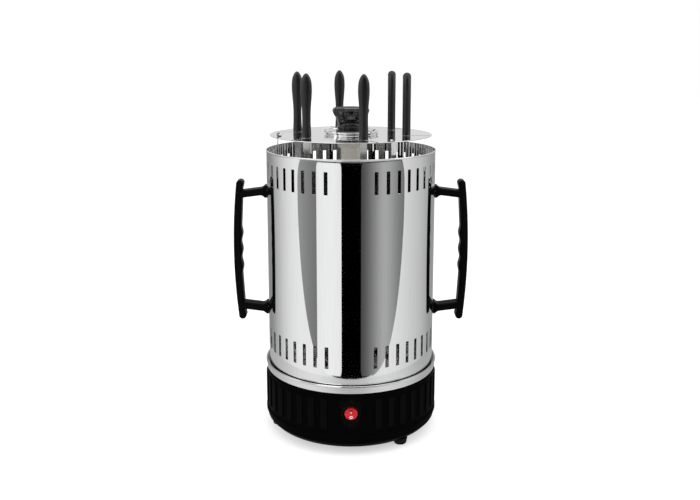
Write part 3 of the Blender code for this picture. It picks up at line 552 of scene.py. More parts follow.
def block(name: str, size: Sequence[float], where: Matrix, edge: float = 0.0) -> Piece:
    """A block centred on a matrix, with rounded edges if edge is more than 0."""
    work = bmesh.new()
    bmesh.ops.create_cube(work, size=1.0, matrix=Matrix.Diagonal((*size, 1.0)))
    if edge > 0:
        bmesh.ops.bevel(work, geom=work.edges[:], offset=edge, segments=3, profile=0.5, affect="EDGES")
    return placed(finished(work, name), where)


def handed(
    piece: Piece, finish: "Finish", body: str, nodes: Sequence[str] = ()
) -> Piece:
    """Dresses a finished piece and hands it to the frame.

    Args:
        piece: The piece, in place.
        finish: Its finish.
        body: The body it moves with.
        nodes: The CAD nodes it stands for.
    """
    piece.data.materials.clear()
    piece.data.materials.append(finish.material())
    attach(piece, body)
    if nodes:
        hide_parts(*nodes)
    LOG.info("%s: %d faces, on %s", piece.name, len(piece.data.polygons), body)
    return piece


# --- effects that several finishes share ---


class EffectGroup(NodeTree):
    """A shader node group with named inputs and outputs.

    Args:
        name: The group's name.
        inputs: Each input's name, socket kind and usual value.
        outputs: Each output's name.
    """

    def __init__(self, name: str, inputs: dict[str, tuple[str, object]], outputs: Sequence[str]) -> None:
        """Makes the empty group with its sockets."""
        self.tree = bpy.data.node_groups.new(name, "ShaderNodeTree")
        for label, (kind, value) in inputs.items():
            made = self.tree.interface.new_socket(label, in_out="INPUT", socket_type=f"NodeSocket{kind}")
            made.default_value = value
        for label in outputs:
            self.tree.interface.new_socket(label, in_out="OUTPUT", socket_type="NodeSocketFloat")
        self.add_ends()

    def ramp(self, value: Socket, low: float, high: float) -> Socket:
        """Returns 0 under low, 1 over high, and a smooth step between them."""
        step = self.node("ShaderNodeMapRange", interpolation_type="SMOOTHSTEP")
        step.inputs["From Min"].default_value = low
        step.inputs["From Max"].default_value = high
        self.feed(value, step.inputs["Value"])
        return step.outputs["Result"]


def grain_group() -> bpy.types.NodeTree:
    """Returns the group that gives a surface its fine texture.

    Its mask runs from 0 to 1, and its height is meant for a Bump node. Round mixes from straight
    coordinates, which the stretches scale, to coordinates round the grill's axis.
    """
    made = EffectGroup(
        "fine_grain",
        {
            "Scale": ("Float", 400.0),
            "Stretch": ("Vector", (1.0, 1.0, 1.0)),
            "Round": ("Float", 0.0),
            "Contrast": ("Float", 0.5),
        },
        ("Mask", "Height"),
    )
    place = made.node("ShaderNodeTexCoord").outputs["Object"]
    split = made.node("ShaderNodeSeparateXYZ")
    made.feed(place, split.inputs[0])
    x, y, z = split.outputs
    radius = made.sum("SQRT", made.sum("ADD", made.sum("MULTIPLY", x, x), made.sum("MULTIPLY", y, y)))
    around = made.node("ShaderNodeCombineXYZ")
    made.feed(radius, around.inputs[0])
    made.feed(made.sum("MULTIPLY", made.sum("ARCTAN2", y, x), 0.05), around.inputs[1])
    made.feed(z, around.inputs[2])
    chosen = made.node("ShaderNodeMix", data_type="VECTOR")
    made.feed(made.given("Round"), chosen.inputs[0])
    made.feed(place, chosen.inputs[4])
    made.feed(around.outputs[0], chosen.inputs[5])
    stretched = made.node("ShaderNodeVectorMath", operation="MULTIPLY")
    made.feed(chosen.outputs[1], stretched.inputs[0])
    made.feed(made.given("Stretch"), stretched.inputs[1])
    fine = made.node("ShaderNodeTexNoise")
    fine.inputs["Detail"].default_value = 3.0
    made.feed(stretched.outputs[0], fine.inputs["Vector"])
    made.feed(made.given("Scale"), fine.inputs["Scale"])
    made.feed(made.given("Contrast"), fine.inputs["Roughness"])
    made.feed(made.ramp(fine.outputs[0], 0.3, 0.7), made.result.inputs["Mask"])
    made.feed(fine.outputs[0], made.result.inputs["Height"])
    return made.tree


def handling_group() -> bpy.types.NodeTree:
    """Returns the group for what use leaves behind: smears, dust specks and rubbed edges."""
    made = EffectGroup(
        "signs_of_handling",
        {
            "Smear Scale": ("Float", 14.0),
            "Speck Scale": ("Float", 900.0),
            "Edge Start": ("Float", 0.52),
            "Edge End": ("Float", 0.62),
        },
        ("Smears", "Specks", "Edges"),
    )
    place = made.node("ShaderNodeTexCoord").outputs["Object"]
    smear = made.node("ShaderNodeTexNoise")
    smear.inputs["Detail"].default_value = 4.0
    smear.inputs["Distortion"].default_value = 0.6
    made.feed(place, smear.inputs["Vector"])
    made.feed(made.given("Smear Scale"), smear.inputs["Scale"])
    made.feed(made.ramp(smear.outputs[0], 0.42, 0.68), made.result.inputs["Smears"])
    specks = made.node("ShaderNodeTexVoronoi")
    made.feed(place, specks.inputs["Vector"])
    made.feed(made.given("Speck Scale"), specks.inputs["Scale"])
    near = made.sum("SUBTRACT", 1.0, made.ramp(specks.outputs["Distance"], 0.03, 0.16))
    settled = made.sum("MULTIPLY", near, made.ramp(smear.outputs[0], 0.45, 0.6))
    made.feed(settled, made.result.inputs["Specks"])
    bend = made.node("ShaderNodeNewGeometry").outputs["Pointiness"]
    edge = made.node("ShaderNodeMapRange", interpolation_type="SMOOTHSTEP")
    made.feed(bend, edge.inputs["Value"])
    made.feed(made.given("Edge Start"), edge.inputs["From Min"])
    made.feed(made.given("Edge End"), edge.inputs["From Max"])
    made.feed(edge.outputs["Result"], made.result.inputs["Edges"])
    return made.tree


class Grain(Enum):
    """Which way a surface's fine texture runs, as (stretches, round)."""

    EVEN = ((1.0, 1.0, 1.0), 0.0)
    UPRIGHT = ((1.0, 1.0, 0.03), 0.0)
    SPUN = ((1.0, 0.05, 0.05), 1.0)
    HOOPED = ((0.05, 0.05, 1.0), 1.0)


@dataclass(frozen=True)
class Finish:
    """A surface finish and the node material that shows it.

    Args:
        name: The material's name.
        colour: Its main colour.
        second: The colour its grain mixes in.
        grain: Which way the grain runs.
        scale: How fine the grain is.
        depth: How deep the grain is, in metres.
        mixing: How much of the second colour the grain brings.
        rough: The roughness where clean.
        rough_more: What grain and smears add to it.
        metallic: 1 for metal.
        specular: The specular level of a plastic.
        coat: The weight of a clear coat.
        edge_colour: The colour of rubbed edges.
        edges: How much the edges are rubbed.
        specks: How much dust shows.
        glow: How much of its own colour shines without light; this is painted light that brightens parts
            lying in shade.
        seen_through: The share of light that passes.
    """

    name: str
    colour: Colour
    second: Colour
    grain: Grain = Grain.EVEN
    scale: float = 600.0
    depth: float = 0.00001
    mixing: float = 0.5
    rough: float = 0.3
    rough_more: float = 0.1
    metallic: float = 0.0
    specular: float = 0.5
    coat: float = 0.0
    edge_colour: Colour = (0.5, 0.5, 0.5)
    edges: float = 0.0
    specks: float = 0.0
    glow: float = 0.0
    seen_through: float = 0.0

    def material(self) -> bpy.types.Material:
        """Returns the finish's material, made on first use."""
        found = bpy.data.materials.get(self.name)
        return found or self.build()

    def build(self) -> bpy.types.Material:
        """Makes the material: grain and handling drive its colour, roughness and bump."""
        made = bpy.data.materials.new(self.name)
        made.use_nodes = True
        tree = made.node_tree
        shader = tree.nodes["Principled BSDF"]

        def add(kind: str, **settings: object) -> bpy.types.Node:
            """Returns a new node with its settings made."""
            node = tree.nodes.new(kind)
            for key, value in settings.items():
                setattr(node, key, value)
            return node

        def mixed(share: Socket, scale: float, under: object, over: Colour) -> Socket:
            """Returns a colour laid over another one.

            Args:
                share: The socket that says how much of the upper colour shows, from 0 to 1.
                scale: What that share is multiplied by.
                under: The lower colour, or the socket that carries it.
                over: The upper colour.
            """
            weight = add("ShaderNodeMath", operation="MULTIPLY")
            tree.links.new(share, weight.inputs[0])
            weight.inputs[1].default_value = scale
            mix = add("ShaderNodeMix", data_type="RGBA")
            tree.links.new(weight.outputs[0], mix.inputs[0])
            if isinstance(under, Socket):
                tree.links.new(under, mix.inputs[6])
            else:
                mix.inputs[6].default_value = (*under, 1.0)
            mix.inputs[7].default_value = (*over, 1.0)
            return mix.outputs[2]

        grain = add("ShaderNodeGroup", node_tree=FINE_GRAIN)
        grain.inputs["Scale"].default_value = self.scale
        grain.inputs["Stretch"].default_value = self.grain.value[0]
        grain.inputs["Round"].default_value = self.grain.value[1]
        handled = add("ShaderNodeGroup", node_tree=HANDLING)
        colour = mixed(grain.outputs["Mask"], self.mixing, self.colour, self.second)
        if self.edges > 0:
            colour = mixed(handled.outputs["Edges"], self.edges, colour, self.edge_colour)
        if self.specks > 0:
            colour = mixed(handled.outputs["Specks"], self.specks, colour, (0.5, 0.49, 0.47))
        tree.links.new(colour, shader.inputs["Base Color"])
        both = add("ShaderNodeMath", operation="MULTIPLY_ADD")
        tree.links.new(handled.outputs["Smears"], both.inputs[0])
        both.inputs[1].default_value = 0.6
        tree.links.new(grain.outputs["Mask"], both.inputs[2])
        rough = add("ShaderNodeMapRange")
        tree.links.new(both.outputs[0], rough.inputs["Value"])
        rough.inputs["From Max"].default_value = 1.6
        rough.inputs["To Min"].default_value = self.rough
        rough.inputs["To Max"].default_value = self.rough + self.rough_more
        tree.links.new(rough.outputs["Result"], shader.inputs["Roughness"])
        bump = add("ShaderNodeBump")
        bump.inputs["Distance"].default_value = self.depth
        tree.links.new(grain.outputs["Height"], bump.inputs["Height"])
        tree.links.new(bump.outputs[0], shader.inputs["Normal"])
        shader.inputs["Metallic"].default_value = self.metallic
        shader.inputs["Specular IOR Level"].default_value = self.specular
        shader.inputs["Coat Weight"].default_value = self.coat
        shader.inputs["Coat Roughness"].default_value = 0.04
        shader.inputs["Transmission Weight"].default_value = self.seen_through
        # Painted light: the finish's own colour also shines, brightening it where shade falls.
        if self.glow > 0:
            tree.links.new(colour, shader.inputs["Emission Color"])
            shader.inputs["Emission Strength"].default_value = self.glow
        return made


MIRROR_STEEL = Finish(
    "mirror_steel", (0.90, 0.90, 0.895), (0.82, 0.82, 0.82), Grain.UPRIGHT, 700, 0.0000004, 0.5,
    0.018, 0.035, 1.0, specks=0.10,
)
SPUN_STEEL = Finish(
    "spun_steel", (0.88, 0.88, 0.875), (0.76, 0.76, 0.76), Grain.SPUN, 1500, 0.0000012, 0.6,
    0.06, 0.08, 1.0, specks=0.12,
)
PRESSED_STEEL = Finish(
    "pressed_steel", (0.88, 0.88, 0.87), (0.74, 0.74, 0.73), Grain.HOOPED, 1500, 0.000001, 0.6,
    0.07, 0.09, 1.0, specks=0.12,
)
BLADE_STEEL = Finish(
    "blade_steel", (0.80, 0.80, 0.79), (0.62, 0.62, 0.61), Grain.UPRIGHT, 2600, 0.000002, 0.7,
    0.14, 0.14, 1.0, specks=0.1,
)
STRIP_STEEL = Finish(
    "strip_steel", (0.84, 0.84, 0.83), (0.68, 0.68, 0.67), Grain.UPRIGHT, 1800, 0.000002, 0.6,
    0.12, 0.12, 1.0,
)
GALVANISED = Finish(
    "galvanised_steel", (0.55, 0.57, 0.58), (0.40, 0.42, 0.44), Grain.EVEN, 160, 0.000004, 0.9,
    0.30, 0.20, 1.0, edge_colour=(0.75, 0.76, 0.76), edges=0.4, specks=0.2,
)
SCREW_STEEL = Finish(
    "plated_screw_steel", (0.70, 0.70, 0.69), (0.52, 0.52, 0.50), Grain.EVEN, 900, 0.000003, 0.6,
    0.22, 0.15, 1.0, edge_colour=(0.9, 0.9, 0.88), edges=0.5,
)
GLOSS_BLACK = Finish(
    "gloss_black_phenolic", (0.0016, 0.0016, 0.0017), (0.003, 0.003, 0.003), Grain.EVEN, 500,
    0.0000015, 0.5, 0.16, 0.12, 0.0, 0.03, edge_colour=(0.02, 0.02, 0.021), edges=0.3, specks=0.004,
)
KNOB_BLACK = Finish(
    "knob_black_phenolic", (0.0018, 0.0018, 0.0019), (0.004, 0.004, 0.004), Grain.EVEN, 420,
    0.000002, 0.5, 0.10, 0.10, 0.0, 0.5, edge_colour=(0.03, 0.03, 0.031), edges=0.4, specks=0.006,
)
SATIN_CHARCOAL = Finish(
    "satin_charcoal_phenolic", (0.0022, 0.0023, 0.0026), (0.005, 0.005, 0.0055), Grain.EVEN, 900,
    0.000004, 0.6, 0.30, 0.14, 0.0, 0.5, edge_colour=(0.04, 0.042, 0.042), edges=0.4, specks=0.008,
)
BASE_BLACK = Finish(
    "moulded_black_base", (0.0010, 0.0010, 0.0011), (0.002, 0.002, 0.0021), Grain.EVEN, 1400,
    0.000003, 0.6, 0.34, 0.14, 0.0, 0.006, edge_colour=(0.02, 0.02, 0.021), edges=0.3, specks=0.003,
)
RUBBER_BLACK = Finish(
    "foot_rubber", (0.004, 0.004, 0.004), (0.008, 0.008, 0.008), Grain.EVEN, 1100, 0.00001, 0.6,
    0.62, 0.2, 0.0, 0.1, edge_colour=(0.03, 0.03, 0.03), edges=0.4, specks=0.02,
)
# The glow of cream_steatite is painted light: it brightens the ceramic socket, core and cap where the plate
# and casing shade them.
CREAM_CERAMIC = Finish(
    "cream_steatite", (0.80, 0.77, 0.70), (0.72, 0.68, 0.60), Grain.EVEN, 260, 0.00001, 0.6,
    0.34, 0.2, 0.0, 0.4, edge_colour=(0.9, 0.86, 0.78), edges=0.3, specks=0.03, glow=0.12,
)
# The glow of milky_quartz is painted light that brightens the tube where the casing shades it.
MILKY_TUBE = Finish(
    "milky_quartz", (0.80, 0.77, 0.70), (0.74, 0.71, 0.63), Grain.UPRIGHT, 120, 0.000002, 0.5,
    0.20, 0.12, 0.0, 0.4, coat=0.2, glow=0.13,
)
HEATING_WIRE = Finish(
    "heating_wire", (0.36, 0.30, 0.26), (0.22, 0.17, 0.14), Grain.HOOPED, 900, 0.000003, 0.7,
    0.40, 0.2, 0.9,
)
IVORY_NYLON = Finish(
    "ivory_nylon", (0.78, 0.75, 0.66), (0.70, 0.66, 0.56), Grain.EVEN, 300, 0.000006, 0.6,
    0.36, 0.16, 0.0, 0.45, edge_colour=(0.88, 0.86, 0.8), edges=0.3, specks=0.05,
)
# The glow of red_rocker_plastic is painted light that brightens the red rocker a little.
RED_LENS = Finish(
    "red_rocker_plastic", (0.56, 0.010, 0.016), (0.40, 0.005, 0.008), Grain.EVEN, 90, 0.000001, 0.8,
    0.12, 0.08, 0.0, 0.3, coat=0.15, edge_colour=(0.75, 0.06, 0.06), edges=0.4, glow=0.02,
)
# The darker red of the oval high on the rocker's face.
DEEP_RED = Finish(
    "dark_red_lens", (0.16, 0.001, 0.001), (0.11, 0.001, 0.001), Grain.EVEN, 90, 0.000001, 0.8,
    0.08, 0.06, 0.0, 0.3, coat=0.3,
)
WHITE_MARK = Finish(
    "white_mark_paint", (0.90, 0.90, 0.88), (0.80, 0.80, 0.78), Grain.EVEN, 800, 0.000002, 0.5,
    0.40, 0.15, 0.0, 0.4,
)

FINE_GRAIN = grain_group()
HANDLING = handling_group()
RING = ring_tree()
COIL = coil_tree()

SKEWERS = 6
FIRST_SKEWER = 12.0
CROSSWISE = (1, 2)
LIFT_OFF = "lift_off_casing"


def skewer_place(index: int) -> Matrix:
    """Returns the matrix that moves a piece to a skewer's axis and turns it as that skewer hangs."""
    centre = middle(f"skewer_blade_{index + 1}")
    turn = Matrix.Rotation(math.pi / 2 if index in CROSSWISE else 0.0, 4, "Z")
    return Matrix.Translation((centre.x, centre.y, 0.0)) @ turn


# --- base ---

SMALL_SCREW = (0.0015, 0.0032)
KNOB_SCREW = (0.002, 0.004)

@dataclass
class Base:
    """The ribbed drum, its bottom cover, its feet and the lead's gland.

    Args:
        wall: The drum's wall.
        lip: How far the lip at its foot stands out.
        lip_height: The lip's height.
        corner: The rounding of its shoulder.
        ribs: How many ribs there are; the front stays smooth.
        first_rib: The azimuth of the first rib.
        rib_pitch: Degrees from one rib to the next.
        rib_width: A rib's width.
        rib_rise: How far a rib stands out.
        rib_sink: How deep a rib's root stands in the drum.
        rib_foot: From the drum's foot to the ribs.
        rib_head: From the ribs to the drum's top.
        shelf: The radius of the top's opening for the tray.
        switch_hole: The radius of the switch's hole.
        gland_hole: The radius of the gland's hole.
        well: The radius of a cover screw's well.
        well_circle: How far the wells stand from the axis.
        well_azimuths: Where they stand.
        air_slots: How many air slots the bottom cover has.
        air_circle: How far they stand from the axis.
    """

    wall: float = 0.0025
    lip: float = 0.0015
    lip_height: float = 0.004
    corner: float = 0.0022
    ribs: int = 38
    first_rib: float = 17.5
    rib_pitch: float = 8.784
    rib_width: float = 0.0072
    rib_rise: float = 0.0013
    rib_sink: float = 0.0008
    rib_foot: float = 0.0095
    rib_head: float = 0.0055
    shelf: float = 0.0968
    switch_hole: float = 0.0110
    gland_hole: float = 0.0039
    well: float = 0.0019
    well_circle: float = 0.0805
    well_azimuths: tuple[float, ...] = (100.0, 220.0, 340.0)
    air_slots: int = 24
    air_circle: float = 0.045

    def build(self) -> None:
        """Makes and dresses every piece of the base."""
        self.housing()
        self.cover()
        self.feet()
        for node, finish in (("cord_gland", RUBBER_BLACK), ("terminal_block", IVORY_NYLON)):
            dress(node, finish)

    def housing(self) -> None:
        """Makes the drum with its ribs, its lip and the holes for the switch and the gland."""
        outer = reach("base_housing") - self.lip
        foot, top = lowest("base_housing"), highest("base_housing")
        inner = outer - self.wall
        profile = rounded([
            (self.shelf, top, 0.0004), (outer, top, self.corner),
            (outer, foot + self.lip_height + self.lip, 0.0012),
            (outer + self.lip, foot + self.lip_height, 0.0008), (outer + self.lip, foot, 0.0006),
            (inner, foot, 0.0003), (inner, top - self.wall, 0.0006),
            (self.shelf, top - self.wall, 0.0004),
        ], 5)
        drum = turned("base_drum", profile, 144, closed=True)
        ribs = RingPattern(
            self.rib(outer, top - foot - self.rib_foot - self.rib_head), self.ribs, self.first_rib,
            self.rib_pitch, radius=outer, height=(top - self.rib_head + foot + self.rib_foot) / 2,
        ).bake("base_ribs")
        drum = worked(drum, weld(ribs), Way.JOIN)
        switch = middle("switch_body")
        hole = Matrix.Translation((0, -outer, switch.z)) @ STOOD_UP
        drum = worked(drum, rod("switch_hole", self.switch_hole, 0.02, hole, 48))
        gland = middle("cord_gland")
        hole = Matrix.Translation((0, outer, gland.z)) @ STOOD_UP
        drum = worked(drum, rod("gland_hole", self.gland_hole, 0.02, hole, 24))
        handed(shade(drum), BASE_BLACK, "base", ["base_housing"])

    def rib(self, outer: float, length: float) -> Piece:
        """Makes one rib: a bar with soft edges, whose ends slope in to the drum.

        Args:
            outer: The drum's radius.
            length: The rib's length.
        """
        half = self.rib_width / 2
        work = bmesh.new()
        sections = []
        for height, share, raised in (
            (-0.5, 0.86, -0.4), (-0.47, 0.95, 0.7), (-0.44, 1.0, 1.0), (0.44, 1.0, 1.0),
            (0.47, 0.95, 0.7), (0.5, 0.86, -0.4),
        ):
            ring = []
            for across, out in (
                (-1.0, -1.0), (-1.0, 0.62), (-0.9, 0.90), (-0.7, 1.0), (0.7, 1.0), (0.9, 0.90),
                (1.0, 0.62), (1.0, -1.0),
            ):
                depth = -self.rib_sink if out < 0 else self.rib_rise * out * raised
                y = across * half * share
                drop = outer - math.sqrt(outer * outer - y * y)
                ring.append(work.verts.new((depth - drop, y, height * length)))
            sections.append(ring)
        for one, other in zip(sections, sections[1:]):
            for i in range(len(one)):
                j = (i + 1) % len(one)
                work.faces.new((one[i], one[j], other[j], other[i]))
        work.faces.new(sections[0])
        work.faces.new(sections[-1])
        bmesh.ops.recalc_face_normals(work, faces=work.faces)
        return finished(work, "rib")

    def cover(self) -> None:
        """Makes the bottom cover with its soft corner, its screws' wells and its air slots."""
        outer = reach("bottom_cover")
        foot, top = lowest("bottom_cover"), highest("bottom_cover")
        profile = rounded([
            (0.0, foot + 0.0025, 0), (outer - 0.007, foot + 0.0025, 0.002),
            (outer - self.wall, foot + 0.0065, 0.002), (outer - self.wall, top, 0.0003),
            (outer, top, 0.0008), (outer - 0.0002, foot + 0.0065, 0.004), (outer - 0.0065, foot, 0.004),
            (0.0, foot, 0),
        ], 5)
        cover = turned("base_cover", profile, 144)
        holes = [
            rod("well", self.well, 0.03, Matrix.Translation(polar(self.well_circle, azimuth, foot)), 20)
            for azimuth in self.well_azimuths
        ]
        cover = worked(cover, merged("wells", holes))
        slot = block("air_slot", (0.016, 0.0024, 0.02), Matrix.Identity(4), 0.001)
        pitch = 360 / self.air_slots
        slots = RingPattern(slot, self.air_slots, pitch / 2, pitch, self.air_circle, foot).bake("air_slots")
        cover = worked(cover, weld(slots))
        handed(shade(cover), BASE_BLACK, "base", ["bottom_cover"])
        for node in ("cover_screw_1", "cover_screw_2", "cover_screw_3"):
            self.cover_screw(node, foot)

    def cover_screw(self, node: str, foot: float) -> None:
        """Makes a cross-headed screw in the place of a CAD screw.

        Args:
            node: The CAD screw.
            foot: The height of the cover's underside.
        """
        place = middle(node)
        made = screw(f"{node}_headed", *SMALL_SCREW, highest(node) - foot)
        placed(made, Matrix.Translation((place.x, place.y, foot - 0.0003)))
        handed(made, SCREW_STEEL, "base", [node])

    def feet(self) -> None:
        """Makes the ringed rubber feet."""
        low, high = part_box("foot_1")
        radius, height = (high[0] - low[0]) / 2 * 0.998, high[2] - low[2]
        profile = rounded([
            (0.0, height, 0), (radius, height, 0.0004), (radius, height * 0.72, 0.0006),
            (radius * 0.90, height * 0.62, 0.0008), (radius * 0.94, height * 0.5, 0.0008),
            (radius * 0.84, 0.0, 0.0016), (radius * 0.42, 0.0, 0.0006), (radius * 0.34, 0.0012, 0.0006),
            (0.0, 0.0012, 0),
        ], 4)
        foot = shade(turned("rubber_foot", profile, 40))
        for number in (1, 2, 3):
            node = f"foot_{number}"
            place = middle(node)
            made = copied(foot, f"rubber_foot_{number}", Matrix.Translation((place.x, place.y, 0)))
            handed(made, RUBBER_BLACK, "base", [node])
        bpy.data.objects.remove(foot)


def dress(node: str, finish: Finish) -> None:
    """Gives a CAD node, whose shape is kept, a finish."""
    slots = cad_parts[node].data.materials
    if not len(slots):
        slots.append(None)
    for index in range(len(slots)):
        slots[index] = finish.material()
    LOG.info("%s: kept, %s", node, finish.name)


def screw(name: str, shank: float, head: float, length: float) -> Piece:
    """Makes a cross-headed screw along +Z, whose head hangs below z = 0.

    Args:
        name: The piece's name.
        shank: The shank's radius.
        head: The head's radius.
        length: The shank's length.
    """
    thick = head * 0.55
    profile = rounded([
        (0.0, length, 0), (shank * 0.3, length, 0.0002), (shank, length - shank * 1.5, 0.0003),
        (shank, 0.0, 0), (head, 0.0, 0.0002), (head * 0.96, -thick * 0.4, 0.001),
        (head * 0.6, -thick, 0.002), (0.0, -thick, 0),
    ], 4)
    made = turned(name, profile, 28)
    arm = (head * 1.2, head * 0.24, thick * 1.1)
    cross = block("cross_a", arm, Matrix.Translation((0, 0, -thick)), head * 0.05)
    other = block("cross_b", arm[1::-1] + arm[2:], Matrix.Translation((0, 0, -thick)), head * 0.05)
    made = worked(made, worked(cross, other, Way.JOIN))
    return shade(made)


# --- switch ---


@dataclass
class Switch:
    """The round rocker switch on the base's front.

    Args:
        bezel: The bezel's radius.
        barrel: The barrel's radius.
        barrel_wall: The barrel's wall.
        barrel_depth: The barrel's depth.
        rocker: The rocker's radius.
        rise: How far the rocker's middle stands out from the pivot.
        slope: How much further its ends stand out.
        tilt: The rocker's tilt at rest, in degrees.
        front: How far the bezel's seat is from the grill's axis.
        pivot: How far the rocker's pivot is from it.
    """

    bezel: float = 0.01175
    barrel: float = 0.0107
    barrel_wall: float = 0.0021
    barrel_depth: float = 0.013
    rocker: float = 0.0074
    rise: float = 0.0014
    slope: float = 0.00142
    tilt: float = 10.45
    front: float = 0.103
    pivot: float = 0.1015

    def build(self) -> None:
        """Makes the bezel with its barrel, the rocker and its marks."""
        place = middle("switch_body")
        upright = Matrix.Translation((0, -self.front, place.z)) @ STOOD_UP
        inner = self.barrel - self.barrel_wall
        profile = rounded([
            (0.0, -self.barrel_depth + 0.003, 0), (inner, -self.barrel_depth + 0.003, 0.0008),
            (inner, 0.0009, 0.0005), (inner + 0.0006, 0.0015, 0.0003),
            (self.bezel - 0.0008, 0.0015, 0.0006), (self.bezel, 0.0003, 0.0003),
            (self.barrel, 0.0003, 0.0002), (self.barrel, -self.barrel_depth, 0.0005),
            (0.0, -self.barrel_depth, 0),
        ], 4)
        body = placed(turned("switch_bezel", profile, 72), upright)
        handed(shade(weld(body)), GLOSS_BLACK, "base", ["switch_body"])
        tilt = Matrix.Rotation(math.radians(self.tilt), 4, "X")
        where = Matrix.Translation((0, -self.pivot, place.z)) @ tilt
        rocker = placed(self.rocker_shape(), where)
        handed(shade(weld(rocker), 40), RED_LENS, "switch_rocker", ["switch_rocker"])
        for piece, finish in self.marks():
            handed(shade(placed(piece, where), 40), finish, "switch_rocker")

    def face_at(self, height: float) -> float:
        """Returns how far the rocker's face stands out in front of the pivot at a height."""
        return self.rise + self.slope * abs(height) / self.rocker

    def rocker_shape(self) -> Piece:
        """Makes the rocker: a round piece whose face is a shallow V, about its pivot along X."""
        reach_up = self.rocker + 0.001
        outline = [(-self.face_at(z), z) for z in spread(-reach_up, reach_up, 9)]
        outline += [(0.005 * math.sin(a), reach_up * math.cos(a)) for a in spread(0, math.pi, 13)]
        outline = list(dict.fromkeys((round(y, 7), round(z, 7)) for y, z in outline))
        wedge = slab("rocker", [outline], 4 * self.rocker)
        turn = SIDEWAYS @ Matrix.Rotation(math.pi / 2, 4, "Z")
        placed(wedge, turn)
        round_face = rod("round", self.rocker, 0.05, STOOD_UP, 64)
        made = worked(wedge, round_face, Way.KEEP_COMMON)
        edge = made.modifiers.new("Edge", "BEVEL")
        edge.width = 0.0004
        edge.segments = 3
        edge.limit_method = "ANGLE"
        edge.angle_limit = math.radians(50)
        made = bake(made)
        made.name = "rocker"
        return made

    def marks(self) -> list[tuple[Piece, Finish]]:
        """Returns the bar and ring marks and the darker red oval, which lie on the rocker's face."""
        lean = math.atan2(self.slope, self.rocker)
        made = []
        for name, outlines, height, finish in (
            ("on_mark", [oval(0.00042, 0.0013)], 0.0015, WHITE_MARK),
            ("off_mark", [oval(0.0018, 0.0015), oval(0.00115, 0.0009)], -0.0044, WHITE_MARK),
            # A darker red oval, high on the rocker's face.
            ("lamp_window", [oval(0.0028, 0.0014)], 0.0048, DEEP_RED),
        ):
            flat = slab(name, outlines, 0.00016)
            side = -lean if height < 0 else lean
            where = Matrix.Translation((0, -self.face_at(height) - 0.00004, height))
            made.append((placed(flat, where, Matrix.Rotation(side, 4, "X"), STOOD_UP), finish))
        return made


def oval(half_width: float, half_height: float, count: int = 36) -> list[Point]:
    """Returns the outline of an oval."""
    return [
        (half_width * math.cos(a), half_height * math.sin(a))
        for a in spread(0, 2 * math.pi, count + 1)[:-1]
    ]


# --- tray and casing ---

CASING_BEAD = 0.0006
HANDLE_BORE = 0.0018
HANDLE_SCREWS = ("handle_screw_1", "handle_screw_2", "handle_screw_3", "handle_screw_4")


def casing_radius() -> float:
    """Returns the radius of the casing's mirror face, inside its rolled rim."""
    return reach("casing") - CASING_BEAD


@dataclass
class Tray:
    """The bright drip tray that the casing stands in, with a rolled rim.

    Args:
        sheet: Its sheet's thickness.
        bead: The radius of its rolled rim.
        well: The radius of its well.
        spindle_hole: The radius of the holes for the cups' spindles.
        stem_hole: The radius of the hole for the heater's stem.
    """

    sheet: float = 0.0012
    bead: float = 0.0011
    well: float = 0.095
    spindle_hole: float = 0.0051
    stem_hole: float = 0.0136

    def build(self) -> None:
        """Makes the tray and its holes."""
        wall = reach("tray") - self.bead
        top, low = highest("tray"), lowest("tray")
        floor = low + self.sheet
        shelf = floor + 0.0035
        bead = self.bead
        profile = rounded([
            (wall + bead, top, bead * 0.98), (wall + bead, top - 2 * bead, bead * 0.98),
            (wall, top - 2.4 * bead, 0.0008), (wall, shelf - self.sheet, 0.0016),
            (self.well + self.sheet, shelf - self.sheet, 0.0006), (self.well + self.sheet, low, 0.001),
            (self.stem_hole, low, 0), (self.stem_hole, floor, 0), (self.well, floor, 0.0018),
            (self.well, shelf, 0.0012), (wall - self.sheet, shelf, 0.0004),
            (wall - self.sheet, top, bead * 0.6),
        ], 6)
        tray = turned("drip_tray", profile, 180, closed=True)
        hole = rod("spindle_hole", self.spindle_hole, 0.01, Matrix.Identity(4), 28)
        holes = RingPattern(
            hole, SKEWERS, FIRST_SKEWER, 60.0, radius=middle("drip_cup_1").xy.length, height=floor
        ).bake("spindle_holes")
        tray = worked(tray, weld(holes))
        handed(shade(tray), PRESSED_STEEL, "base", ["tray"])


